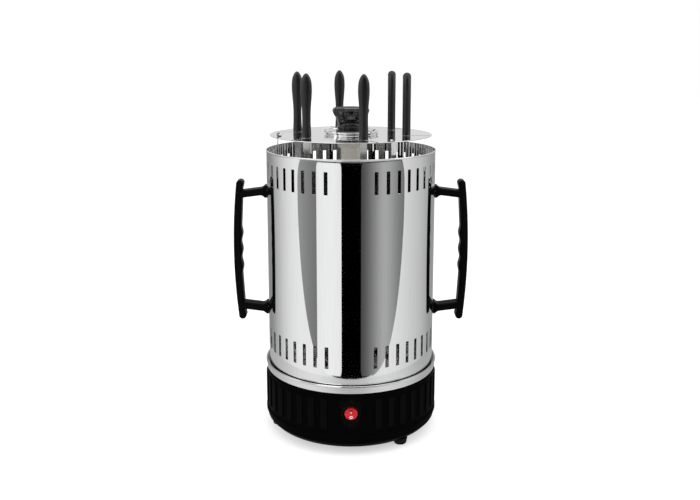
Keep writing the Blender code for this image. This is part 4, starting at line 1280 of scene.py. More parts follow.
@dataclass
class Casing:
    """The mirror-polished tube with its two rows of upright slots.

    Args:
        wall: Its wall.
        slot_width: A slot's width.
        slot_length: A slot's length.
        slot_corner: The rounding of a slot's corners.
        slot_pitch: Degrees from slot to slot.
        left_out: How many slots are left out on each side of the front.
        slots_up: From the tube's foot to the lower slots.
        slots_down: From its rim to the upper slots.
        facets: How many facets go round.
    """

    wall: float = 0.0008
    slot_width: float = 0.0044
    slot_length: float = 0.0255
    slot_corner: float = 0.0004
    slot_pitch: float = 8.0
    left_out: int = 1
    slots_up: float = 0.0262
    slots_down: float = 0.014
    facets: int = 240

    def build(self) -> None:
        """Makes the tube, cuts its slots and holes, and smooths its mirror faces."""
        outer, bead = casing_radius(), CASING_BEAD
        foot, top = lowest("casing"), highest("casing")
        profile = rounded([
            (outer + bead, top, bead * 0.9), (outer + bead, top - 2.2 * bead, bead * 0.9),
            (outer, top - 3 * bead, 0.0006), (outer, foot, 0.0002), (outer - self.wall, foot, 0.0002),
            (outer - self.wall, top, bead * 0.6),
        ], 5)
        tube = turned("mirror_tube", profile, self.facets, closed=True)
        tube = worked(tube, self.slots(outer, foot, top))
        holes = [
            rod("hole", HANDLE_BORE, 0.01, Matrix.Translation((x, 0, middle(node).z)) @ SIDEWAYS, 16)
            for x, node in zip((outer, outer, -outer, -outer), HANDLE_SCREWS)
        ]
        tube = worked(tube, merged("holes", holes))
        self.mirror(tube, outer)
        handed(tube, MIRROR_STEEL, LIFT_OFF, ["casing"])

    def slots(self, outer: float, foot: float, top: float) -> Piece:
        """Returns both rows of slot cutters as one shape.

        Args:
            outer: The tube's radius.
            foot: The height of its foot.
            top: The height of its rim.
        """
        half, radius = self.slot_length / 2, self.slot_corner
        outline = rounded([
            (-half, -self.slot_width / 2, radius), (half, -self.slot_width / 2, radius),
            (half, self.slot_width / 2, radius), (-half, self.slot_width / 2, radius),
        ], 5)
        cutter = placed(slab("slot", [outline], 0.008), SIDEWAYS)
        lower = foot + self.slots_up + half
        upper = top - self.slots_down - half
        count = round(360 / self.slot_pitch) - 1 - 2 * self.left_out
        cutters = RingPattern(
            cutter, count, (1 + self.left_out) * self.slot_pitch, self.slot_pitch, radius=outer,
            height=lower, rows=2, row_rise=upper - lower,
        ).bake("slots")
        return weld(cutters)

    def mirror(self, tube: Piece, outer: float) -> None:
        """Gives the round faces exact normals, so that what they mirror stays clean.

        Args:
            tube: The cut tube.
            outer: Its radius; not used.
        """
        mesh = tube.data
        mesh.shade_smooth()
        mesh.set_sharp_from_angle(angle=math.radians(32))
        normals = [Vector(corner.vector) for corner in mesh.corner_normals]
        for face in mesh.polygons:
            if abs(face.normal.z) > 0.02:
                continue
            out = Vector((face.center.x, face.center.y, 0)).normalized()
            way = face.normal.dot(out)
            if abs(way) < 0.99:
                continue
            for loop in face.loop_indices:
                point = mesh.vertices[mesh.loops[loop].vertex_index].co
                radial = Vector((point.x, point.y, 0)).normalized()
                normals[loop] = radial if way > 0 else -radial
        mesh.normals_split_custom_set([tuple(n) for n in normals])


@dataclass
class Handles:
    """The two carrying handles with their finger scallops and arms.

    Args:
        width: A handle's width.
        edge: The rounding of its edges.
        thickness: The grip's thickness.
        bow: How much the grip's ends curve back in.
        past_arm: How far the grip runs past its arms.
        scallop_depth: The depth of a finger scallop.
        scallop_pitch: From scallop to scallop.
        scallops: How many there are.
        arm: An arm's thickness.
        droop: How far an arm's outer end drops or rises.
        pad: The height of an arm's pad.
        pad_thickness: The pad's thickness.
        gap: What stays free between a pad and the casing.
        reach_out: How far the grip stands out from the casing.
        low: The height of the lower arms.
        high: The height of the upper arms.
    """

    width: float = 0.018
    edge: float = 0.0026
    thickness: float = 0.009
    bow: float = 0.005
    past_arm: float = 0.014
    scallop_depth: float = 0.0016
    scallop_pitch: float = 0.020
    scallops: int = 3
    arm: float = 0.0087
    droop: float = 0.003
    pad: float = 0.015
    pad_thickness: float = 0.0025
    gap: float = 0.0003
    reach_out: float = field(init=False)
    low: float = field(init=False)
    high: float = field(init=False)

    def __post_init__(self) -> None:
        """Takes the arms' heights and the reach from the frame."""
        self.reach_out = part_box("handle_right")[1][0] - casing_radius()
        self.low = middle("handle_screw_1").z
        self.high = middle("handle_screw_2").z

    def face(self, height: float) -> float:
        """Returns how far the grip's outer face stands out from the casing."""
        centre = (self.high + self.low) / 2
        half = (self.high - self.low) / 2 + self.past_arm
        return self.reach_out - self.bow * ((height - centre) / half) ** 2

    def inside(self, height: float) -> float:
        """Returns the grip's inner face, with its scallops."""
        along = (height - (self.high + self.low) / 2) / self.scallop_pitch
        bump = 0.0
        if abs(along) < self.scallops / 2:
            bump = self.scallop_depth * (0.5 + 0.5 * math.cos(2 * math.pi * along))
        return self.face(height) - self.thickness - bump

    def end(self, height: float, sign: int) -> list[Point]:
        """Returns a rounded end of the grip.

        Args:
            height: The height of its middle.
            sign: 1 for the upper end, -1 for the lower one.
        """
        radius = self.thickness / 2
        centre = self.face(height) - radius
        return [
            (centre + sign * radius * math.cos(a), height + sign * radius * math.sin(a))
            for a in spread(0, math.pi, 13)
        ]

    def arm_line(self, height: float, droop: float) -> list[Point]:
        """Returns an arm's outline from the grip in to its pad and back, running down.

        Args:
            height: The height of its pad's middle.
            droop: How much higher its outer end stands.
        """
        half, pad, start = self.arm / 2, self.pad / 2, height + droop
        grip = self.face(start) - self.thickness + 0.0005
        corners = [
            (grip + 0.004, start + half, 0), (grip, start + half, 0.003),
            (self.pad_thickness * 2.4, height + half, 0.006),
            (self.pad_thickness, height + pad, 0.0012), (self.gap, height + pad, 0),
            (self.gap, height - pad, 0), (self.pad_thickness, height - pad, 0.0012),
            (self.pad_thickness * 2.4, height - half, 0.006), (grip, start - half, 0.003),
            (grip + 0.004, start - half, 0),
        ]
        return rounded(corners, 5)[1:-1]

    def outline(self) -> list[Point]:
        """Returns the handle's side view as (distance from the casing, height)."""
        radius = self.thickness / 2
        top, foot = self.high + self.past_arm - radius, self.low - self.past_arm + radius
        made = [(self.face(z), z) for z in spread(foot, top, 25)[1:-1]]
        made += self.end(top, 1)
        made += self.arm_line(self.high, -self.droop)
        half, centre = self.scallops * self.scallop_pitch / 2, (self.high + self.low) / 2
        inner = spread(centre + half, centre - half, 20 * self.scallops + 1)
        made += [(self.inside(z), z) for z in inner]
        made += self.arm_line(self.low, self.droop)
        return made + self.end(foot, -1)

    def build(self) -> None:
        """Makes both handles and their screws."""
        shape = slab("handle", [self.outline()], self.width, self.edge, 4)
        radius = casing_radius()
        stand = Matrix.Translation((radius, 0, 0)) @ STOOD_UP
        placed(shape, stand)
        bores = [
            rod("bore", HANDLE_BORE, 0.0206, Matrix.Translation((radius, 0, z)) @ SIDEWAYS, 16)
            for z in (self.low, self.high)
        ]
        shape = shade(worked(shape, merged("bores", bores)), 38)
        for side, turn in (("right", 0.0), ("left", math.pi)):
            made = copied(shape, f"carrying_handle_{side}", Matrix.Rotation(turn, 4, "Z"))
            handed(made, GLOSS_BLACK, LIFT_OFF, [f"handle_{side}"])
        bpy.data.objects.remove(shape)
        for index, node in enumerate(HANDLE_SCREWS):
            low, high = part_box(node)
            side = 1 if middle(node).x > 0 else -1
            seat = low[0] + 0.0019 if side > 0 else high[0] - 0.0019
            made = screw(f"{node}_headed", *SMALL_SCREW, 0.0108)
            where = Matrix.Translation((seat, 0, middle(node).z))
            placed(made, where, Matrix.Rotation(side * math.pi / 2, 4, "Y"))
            handed(made, SCREW_STEEL, LIFT_OFF, [node])


# --- top plate and knob ---

POST_AZIMUTHS = (273.0, 33.0, 153.0)


@dataclass
class TopPlate:
    """The polished disc that the skewers hang through, with its raised ring, rivets and tab.

    Args:
        sheet: Its sheet's thickness.
        boss: The raised middle's radius.
        boss_rise: How far the middle is raised.
        seat: The radius of a skewer's seat.
        entry: The width of an entry slot.
        slant: How far an entry slot leans from the radius, in degrees.
        ring: The radius of the bright dished ring round the knob.
        ring_rise: How far that ring's lip stands above the plate.
        hole: The radius of the hole for the knob's screw.
        rivet: The radius of a rivet's head.
        rivet_inset: From a post's outer face in to its rivet.
        catch_azimuth: Where the small bent catch stands.
        catch_inset: From the plate's edge in to the catch.
    """

    sheet: float = 0.001
    boss: float = 0.032
    boss_rise: float = 0.001
    seat: float = 0.00475
    entry: float = 0.0028
    slant: float = 17.5
    ring: float = 0.0326
    ring_rise: float = 0.0042
    hole: float = 0.0023
    rivet: float = 0.0021
    rivet_inset: float = 0.0042
    catch_azimuth: float = 289.0
    catch_inset: float = 0.0105

    def build(self) -> None:
        """Makes the plate, its ring, its rivets and its catch."""
        radius = reach("top_plate")
        low = lowest("top_plate")
        top = low + self.sheet
        slope = self.boss + self.boss_rise
        profile = rounded([
            (self.hole, top + self.boss_rise, 0), (self.boss, top + self.boss_rise, 0.0012),
            (slope, top, 0.0012), (radius, top, 0.0004), (radius, low, 0.0004),
            (slope - self.sheet / 2, low, 0.0008),
            (self.boss - self.sheet / 2, low + self.boss_rise, 0.0008),
            (self.hole, low + self.boss_rise, 0),
        ], 5)
        plate = turned("spun_plate", profile, 180, closed=True)
        plate = worked(plate, self.openings(radius, top))
        handed(shade(plate), SPUN_STEEL, "base", ["top_plate"])
        self.bright_ring(top)
        self.rivets(top)
        self.tab(radius, top)

    def openings(self, radius: float, top: float) -> Piece:
        """Returns the cutters for the six seats, each with its slanted entry slot.

        Args:
            radius: The plate's radius.
            top: The height of its upper face.
        """
        circle = middle("skewer_blade_1").xy.length
        length = radius - circle + 0.02
        seat = rod("seat", self.seat, 0.01, Matrix.Identity(4), 40)
        lean = Matrix.Rotation(math.radians(self.slant), 4, "Z")
        entry = block("entry", (length, self.entry, 0.01), Matrix.Identity(4))
        placed(entry, lean, Matrix.Translation((length / 2, 0, 0)))
        key = worked(seat, entry, Way.JOIN)
        keys = RingPattern(key, SKEWERS, FIRST_SKEWER, 60.0, radius=circle, height=top)
        return weld(keys.bake("keys"))

    def bright_ring(self, top: float) -> None:
        """Makes the polished dished ring round the knob, with a rolled lip, on the plate's top."""
        foot, lip = top + self.boss_rise - 0.0002, top + self.ring_rise
        section = rounded([
            (self.ring - 0.0052, foot, 0.0002), (self.ring - 0.0032, foot + 0.0005, 0.0016),
            (self.ring - 0.0014, lip - 0.0006, 0.0008), (self.ring - 0.0012, lip, 0.0005),
            (self.ring, lip, 0.0005), (self.ring, lip - 0.0012, 0.0005),
            (self.ring - 0.0006, lip - 0.0012, 0.0003), (self.ring - 0.0024, foot, 0.0008),
        ], 4)
        ring = turned("bright_ring", section, 120, closed=True)
        ring.data.shade_smooth()
        handed(ring, SPUN_STEEL, "base", ())

    def rivets(self, top: float) -> None:
        """Makes the domed rivets that hold the plate on its posts, at the height of its top."""
        dome = [
            (0.0, self.rivet * 0.42, 0), (self.rivet * 0.62, self.rivet * 0.36, 0.0012),
            (self.rivet, self.rivet * 0.08, 0.0004), (self.rivet, -0.0002, 0), (0.0, -0.0002, 0),
        ]
        rivet = turned("rivet", rounded(dome, 4), 20)
        made = RingPattern(
            rivet, len(POST_AZIMUTHS), POST_AZIMUTHS[0], 120.0,
            radius=reach_of_posts() - self.rivet_inset, height=top,
        ).bake("plate_rivets", SCREW_STEEL.material())
        handed(shade(weld(made), 50), SCREW_STEEL, "base", ())

    def tab(self, radius: float, top: float) -> None:
        """Makes the small bent catch at the plate's left edge.

        Args:
            radius: The plate's radius.
            top: The height of its upper face.
        """
        outline = rounded([
            (0.0, 0.0, 0), (0.0046, 0.0, 0.001), (0.0058, 0.0026, 0.0012), (0.0040, 0.0046, 0.0016),
            (0.0012, 0.0042, 0.0012), (0.0018, 0.0030, 0.0006), (0.0036, 0.0030, 0.0008),
            (0.0034, 0.0014, 0.0006), (0.0, 0.0012, 0),
        ], 4)
        catch = slab("plate_catch", [outline], 0.0032, 0.0003, 1)
        place = polar(radius - self.catch_inset, self.catch_azimuth, top - 0.0001)
        turn = facing(self.catch_azimuth) @ STOOD_UP
        placed(catch, Matrix.Translation(place), turn)
        handed(shade(catch), STRIP_STEEL, "base", ())


def reach_of_posts() -> float:
    """Returns the radius of the posts' outer faces."""
    return Vector(middle("post_1")[:2]).length + 0.0035


@dataclass
class Knob:
    """The fluted knob on the plate's middle.

    Args:
        radius: Its head's radius.
        waist: Its waist's radius.
        foot_radius: Its foot flange's radius.
        bore: The radius of the bore for its screw.
        bore_depth: How deep that bore is.
        flutes: How many flutes its flared head has.
        first_flute: The azimuth of the first flute.
        flute: A flute's radius.
        flute_lean: How far the flutes lean out, in degrees.
    """

    radius: float = 0.0225
    waist: float = 0.0150
    foot_radius: float = 0.01775
    bore: float = 0.0023
    bore_depth: float = 0.012
    flutes: int = 10
    first_flute: float = 18.0
    flute: float = 0.0070
    flute_lean: float = 25.0

    def build(self) -> None:
        """Makes the knob and its screw."""
        foot, top = lowest("knob"), highest("knob")
        height = top - foot
        flare = smooth_line([
            (self.radius * 0.985, top - 0.0032), (self.radius * 0.92, top - 0.0078),
            (self.radius * 0.78, foot + height * 0.58), (self.waist * 1.06, foot + height * 0.42),
            (self.waist, foot + height * 0.33),
        ], 6)
        profile = rounded([
            (0.0, top - 0.0016, 0), (self.radius * 0.72, top - 0.0014, 0.003),
            (self.radius * 0.86, top, 0.0016), (self.radius, top - 0.0008, 0.0012),
        ], 5)
        profile += flare
        profile += rounded([
            (self.waist, foot + height * 0.30, 0), (self.waist * 1.10, foot + height * 0.25, 0.0008),
            (self.waist * 1.10, foot + height * 0.20, 0.0008),
            (self.waist * 1.03, foot + height * 0.16, 0.0006),
            (self.foot_radius, foot + 0.0034, 0.0010), (self.foot_radius, foot, 0.0004),
            (self.bore, foot, 0.0), (self.bore, foot + self.bore_depth, 0.0),
            (0.0, foot + self.bore_depth, 0),
        ], 4)
        knob = turned("fluted_knob", profile, 144)
        knob = worked(knob, self.flute_cutters(foot, top))
        handed(shade(knob, 42), KNOB_BLACK, "base", ["knob"])
        place = lowest("knob_screw") + 0.0019
        made = screw("knob_screw_headed", *KNOB_SCREW, highest("knob_screw") - place)
        placed(made, Matrix.Translation((0, 0, place)))
        handed(made, SCREW_STEEL, "base", ["knob_screw"])

    def flute_cutters(self, foot: float, top: float) -> Piece:
        """Returns the leaning rods that cut the flutes, in one shape.

        Args:
            foot: The height of the knob's foot.
            top: The height of its top.
        """
        length = (top - foot) * 0.60
        lean = Matrix.Rotation(math.radians(self.flute_lean), 4, "Y")
        cutter = rod("flute", self.flute, length, Matrix.Identity(4), 28)
        ball = cutter.modifiers.new("Soft ends", "BEVEL")
        ball.width = self.flute * 0.9
        ball.segments = 4
        ball.limit_method = "ANGLE"
        ball.angle_limit = math.radians(60)
        bake(cutter)
        placed(cutter, lean)
        flutes = RingPattern(
            cutter, self.flutes, self.first_flute, 360 / self.flutes,
            radius=self.radius * 0.85 + self.flute * 0.83, height=foot + (top - foot) * 0.66,
        ).bake("flutes")
        return weld(flutes)


@dataclass
class Posts:
    """The three bent strips that carry the plate.

    Args:
        width: A strip's width.
        sheet: Its thickness.
        tab: The length of its bent tabs.
        bend: The radius of its bends.
        outer: How far its outer face stands from the axis.
    """

    width: float = 0.007
    sheet: float = 0.0012
    tab: float = 0.008
    bend: float = 0.0018
    outer: float = 0.087

    def build(self) -> None:
        """Makes the strips, one for each post."""
        foot, top = lowest("post_1"), highest("post_1")
        outer = self.outer
        inner = outer - self.sheet
        outline = rounded([
            (outer, foot, self.bend), (outer, top, self.bend), (outer - self.tab, top, 0.0002),
            (outer - self.tab, top - self.sheet, 0.0002), (inner, top - self.sheet, self.bend / 2),
            (inner, foot + self.sheet, self.bend / 2), (outer - self.tab, foot + self.sheet, 0.0002),
            (outer - self.tab, foot, 0.0002),
        ], 5)
        strip = slab("strip", [outline], self.width, 0.0002, 1)
        strip = shade(placed(strip, STOOD_UP))
        for number, azimuth in enumerate(POST_AZIMUTHS, 1):
            made = copied(strip, f"plate_post_{number}", facing(azimuth))
            handed(made, STRIP_STEEL, "base", [f"post_{number}"])
        bpy.data.objects.remove(strip)


# --- heater ---


@dataclass
class Heater:
    """The ceramic socket, the milky tube with its wound core, and the end cap.

    Args:
        stem: The socket's stem radius.
        recess: The radius of the recess that holds the tube.
        socket_wall: The wall round the recess.
        ledge: From that wall out to the flange's edge.
        tube: The tube's radius.
        tube_wall: The tube's wall.
        core: The core's radius under its winding.
        wire: The winding's wire radius.
        turns: How many turns are wound.
        above_flange: From the CAD's flange up to the socket's top.
    """

    stem: float = 0.013
    recess: float = 0.0118
    socket_wall: float = 0.0035
    ledge: float = 0.0047
    tube: float = 0.0115
    tube_wall: float = 0.0015
    core: float = 0.0062
    wire: float = 0.0004
    turns: float = 96.0
    above_flange: float = 0.023

    def build(self) -> None:
        """Makes the heater's pieces from the socket up to the cap."""
        self.socket()
        self.tube_and_core()
        self.cap()

    def socket(self) -> None:
        """Makes the ceramic socket with its ringed collar."""
        foot, top = lowest("heater_socket"), highest("heater_socket")
        collar = self.recess + self.socket_wall
        flange = top - self.above_flange + 0.0003
        rings = []
        for height in spread(flange + 0.0155, flange + 0.009, 3):
            rings += [
                (collar, height + 0.0012, 0.0004), (collar - 0.0009, height + 0.0007, 0.0004),
                (collar - 0.0009, height - 0.0007, 0.0004), (collar, height - 0.0012, 0.0004),
            ]
        profile = rounded(
            [
                (0.0, top - 0.010, 0), (self.recess, top - 0.010, 0.0005),
                (self.recess, top, 0.0005), (collar, top, 0.0010),
                *rings,
                (collar, flange + 0.005, 0.0012), (collar + self.ledge, flange + 0.005, 0.0014),
                (collar + self.ledge, flange, 0.0005), (self.stem, flange, 0.0004),
                (self.stem, foot, 0.0006), (0.0, foot, 0),
            ],
            4,
        )
        made = turned("ceramic_socket", profile, 96)
        handed(shade(made), CREAM_CERAMIC, "base", ["heater_socket"])

    def tube_and_core(self) -> None:
        """Makes the tube, the core inside it and the wire wound on the core."""
        foot, top = lowest("heater_tube"), highest("heater_tube")
        bore = self.tube - self.tube_wall
        profile = rounded([
            (self.tube, top, 0.0004), (self.tube, foot, 0.0004), (bore, foot, 0.0003),
            (bore, top, 0.0003),
        ], 3)
        tube = turned("milky_tube", profile, 96, closed=True)
        handed(shade(tube), MILKY_TUBE, "base", ["heater_tube"])
        ends = [(0.0, top - 0.0003, 0), (self.core, top - 0.0003, 0.0004)]
        ends += [(self.core, foot + 0.0002, 0.0004), (0.0, foot + 0.0002, 0)]
        core = turned("core_former", rounded(ends, 3), 48)
        handed(shade(core), CREAM_CERAMIC, "base", ["heater_core"])
        values = {
            "Turns": self.turns,
            "Radius": self.core + self.wire * 0.8,
            "Height": top - foot - 0.012,
            "Wire Radius": self.wire,
            "Foot": foot + 0.006,
            "Finish": HEATING_WIRE.material(),
        }
        wire = weld(COIL.bake("core_winding", values))
        wire.data.shade_smooth()
        handed(wire, HEATING_WIRE, "base", ())

    def cap(self) -> None:
        """Makes the ceramic cap on the tube's top end."""
        foot, top = lowest("heater_cap"), highest("heater_cap")
        collar = self.recess + self.socket_wall
        profile = rounded([
            (0.0, top - 0.0006, 0), (collar * 0.55, top - 0.0006, 0.001), (collar * 0.62, top, 0.001),
            (collar, top, 0.0022), (collar, foot, 0.0006), (self.recess, foot, 0.0004),
            (self.recess, foot + 0.006, 0.0003), (0.0, foot + 0.006, 0),
        ], 5)
        made = turned("ceramic_cap", profile, 96)
        handed(shade(made), CREAM_CERAMIC, "base", ["heater_cap"])


# --- skewer stations ---


@dataclass
class DripCups:
    """The cup under each skewer, whose slotted hub turns the blade.

    Args:
        radius: A cup's radius.
        wall: Its wall.
        height: Its height.
        hub: Its hub's radius.
        hub_height: The hub's height above the cup's underside.
        bore: The radius of the hub's bore.
        bore_depth: How far the bore runs up above the cup's underside.
        slot: The width and thickness of the blade's slot.
        slot_floor: How high the slot's floor is above the cup's underside.
    """

    radius: float = 0.024
    wall: float = 0.001
    height: float = 0.013
    hub: float = 0.007
    hub_height: float = 0.016
    bore: float = 0.0048
    bore_depth: float = 0.0063
    slot: Point = (0.0086, 0.0022)
    slot_floor: float = 0.008

    def build(self) -> None:
        """Makes one cup and copies it to every station."""
        foot, hub_top = lowest("drip_cup_1"), highest("drip_cup_1")
        radius = self.radius
        under = hub_top - self.hub_height
        floor = under + self.wall
        rim = under + self.height
        profile = rounded([
            (0.0, hub_top, 0), (self.hub, hub_top, 0.0008), (self.hub, floor, 0.0012),
            (radius - 3 * self.wall, floor, 0.003), (radius - self.wall, rim, 0.0003),
            (radius, rim, 0.0004), (radius - 2 * self.wall, under, 0.0036), (self.hub, under, 0.001),
            (self.hub, foot, 0.0005), (self.bore, foot, 0.0002),
            (self.bore, under + self.bore_depth, 0.0004), (0.0, under + self.bore_depth, 0),
        ], 5)
        cup = turned("cup", profile, 72)
        depth = self.hub_height
        centre = Matrix.Translation((0, 0, under + self.slot_floor + depth / 2))
        cup = shade(worked(cup, block("slot", (*self.slot, depth), centre)))
        for index in range(SKEWERS):
            number = index + 1
            made = copied(cup, f"spun_cup_{number}", skewer_place(index))
            handed(made, PRESSED_STEEL, f"cup_{number}", [f"drip_cup_{number}"])
            dress(f"cup_gear_{number}", IVORY_NYLON)
        bpy.data.objects.remove(cup)


@dataclass
class Skewers:
    """The flat blades and their flattened, turned handles.

    Args:
        width: A blade's width.
        thickness: Its thickness.
        point: The length of its point.
        tang: How far it runs up into the handle.
        radius: A handle's largest radius.
        foot: The radius of its foot.
        half_depth: Half its depth, the same all the way up to its round end.
    """

    width: float = 0.0076
    thickness: float = 0.0012
    point: float = 0.012
    tang: float = 0.020
    radius: float = 0.00645
    foot: float = 0.0053
    half_depth: float = 0.0048

    def build(self) -> None:
        """Makes one blade and one handle and copies them to every station."""
        blade, handle = self.blade(), self.handle()
        for index in range(SKEWERS):
            place, number = skewer_place(index), index + 1
            steel = copied(blade, f"steel_blade_{number}", place)
            handed(steel, BLADE_STEEL, f"skewer_{number}", [f"skewer_blade_{number}"])
            grip = copied(handle, f"skewer_grip_{number}", place)
            handed(grip, SATIN_CHARCOAL, f"skewer_{number}", [f"skewer_handle_{number}"])
        bpy.data.objects.remove(blade)
        bpy.data.objects.remove(handle)

    def blade(self) -> Piece:
        """Makes a blade with ground edges and a point."""
        foot, top = lowest("skewer_blade_1"), highest("skewer_blade_1")
        half = self.width / 2
        outline = rounded([
            (0.0, foot, 0.0004), (half, foot + self.point, 0.004), (half, top, 0.0006),
            (-half, top, 0.0006), (-half, foot + self.point, 0.004),
        ], 5)
        made = slab("blade", [outline], self.thickness, 0.00035, 2)
        return shade(placed(made, STOOD_UP), 40)

    def handle(self) -> Piece:
        """Makes a handle: waisted, with a pointed head, and slotted for the blade's tang."""
        foot, top = lowest("skewer_handle_1"), highest("skewer_handle_1")
        length, r = top - foot, self.radius
        line = smooth_line([
            (0.0, foot + length), (r * 0.16, foot + length * 0.9965), (r * 0.42, foot + length * 0.977),
            (r * 0.72, foot + length * 0.93), (r * 0.92, foot + length * 0.868),
            (r * 1.0, foot + length * 0.775), (r * 0.985, foot + length * 0.69),
            (r * 0.88, foot + length * 0.56), (r * 0.785, foot + length * 0.44),
            (r * 0.75, foot + length * 0.33), (r * 0.755, foot + length * 0.2),
            (self.foot, foot + length * 0.055), (self.foot, foot + 0.0010),
        ], 5)
        line += rounded([(self.foot, foot + 0.0006, 0), (self.foot, foot, 0.0005), (0.0, foot, 0)], 3)
        grip = turned("grip", line, 64)
        for vertex in grip.data.vertices:
            x, y, height = vertex.co
            if math.hypot(x, y) > 1e-6:
                below = max(top - height, 0.0)
                share = min(below / self.half_depth, 1.0)
                depth = self.half_depth * math.sqrt(share * (2 - share))
                vertex.co.y = y / math.hypot(x, y) * depth
        slot = (self.width + 0.0006, self.thickness + 0.0006, 2 * (self.tang + 0.0003))
        made = worked(grip, block("tang_slot", slot, Matrix.Translation((0, 0, foot))))
        return shade(made, 45)


class HiddenWorks:
    """The gear train, motor and chassis, whose CAD shapes are kept."""

    FINISHES = {
        "chassis_plate": GALVANISED,
        "motor_body": GALVANISED,
        "motor_pinion": SCREW_STEEL,
        "drive_gear": IVORY_NYLON,
    }

    def build(self) -> None:
        """Dresses every hidden node."""
        for node, finish in self.FINISHES.items():
            dress(node, finish)


# --- studio ---


@dataclass(frozen=True)
class Card:
    """A card that shows only in what the steel mirrors, curved round the grill or flat under it.

    Args:
        name: The card's name.
        first: The azimuth of its left side.
        last: The azimuth of its right side.
        foot: The height of its lower edge.
        top: The height of its upper edge.
        shades: Its brightness at evenly spaced places from left to right.
        corner: The rounding of its corners.
        near: How much nearer than the surround it stands.
        within: Whether the front opening's outline crops it.
    """

    name: str
    first: float
    last: float
    foot: float
    top: float
    shades: tuple[float, ...]
    corner: float = 0.012
    near: float = 0.0
    within: bool = True


OPENING_HALF = 64.6
OPENING_TOP = 0.3052
CARDS = (
    Card(
        "surround", -180.0, 180.0, -0.0046, 0.36,
        (
            0.05, 0.50, 0.20, 0.32, 0.60, 0.86, 0.90, 0.90, 0.62, 0.62, 0.86, 0.82, 0.66, 0.56, 0.36,
            0.28, 0.50, 0.05,
        ),
        corner=0.0, within=False,
    ),
    Card(
        "front_opening", -OPENING_HALF, OPENING_HALF, -0.004, OPENING_TOP, (0.0, 0.0),
        corner=0.0, near=0.004,
    ),
    Card(
        "left_panel", -OPENING_HALF, -34.0, -0.004, OPENING_TOP, (0.33, 0.26, 0.21, 0.17),
        corner=0.0, near=0.008,
    ),
    Card("white_panel", -39.4, -10.6, 0.0026, 0.3046, (0.88, 0.94, 0.94, 0.88), corner=0.011, near=0.012),
    Card(
        "right_panel", 11.2, OPENING_HALF, 0.0026, 0.3048, (0.05, 0.15, 0.30, 0.46, 0.36, 0.24, 0.18),
        corner=0.011, near=0.012,
    ),
    Card("high_shade", -20.0, 52.0, 0.345, 0.62, (0.3, 0.0, 0.0, 0.0, 0.3), within=False),
)
LOW_SHEET = Card(
    "low_sheet", -180.0, 180.0, -0.005, -0.005,
    (0.4, 0.4, 0.45, 0.55, 0.80, 0.82, 0.38, 0.78, 0.70, 0.45, 0.4, 0.4, 0.4),
)


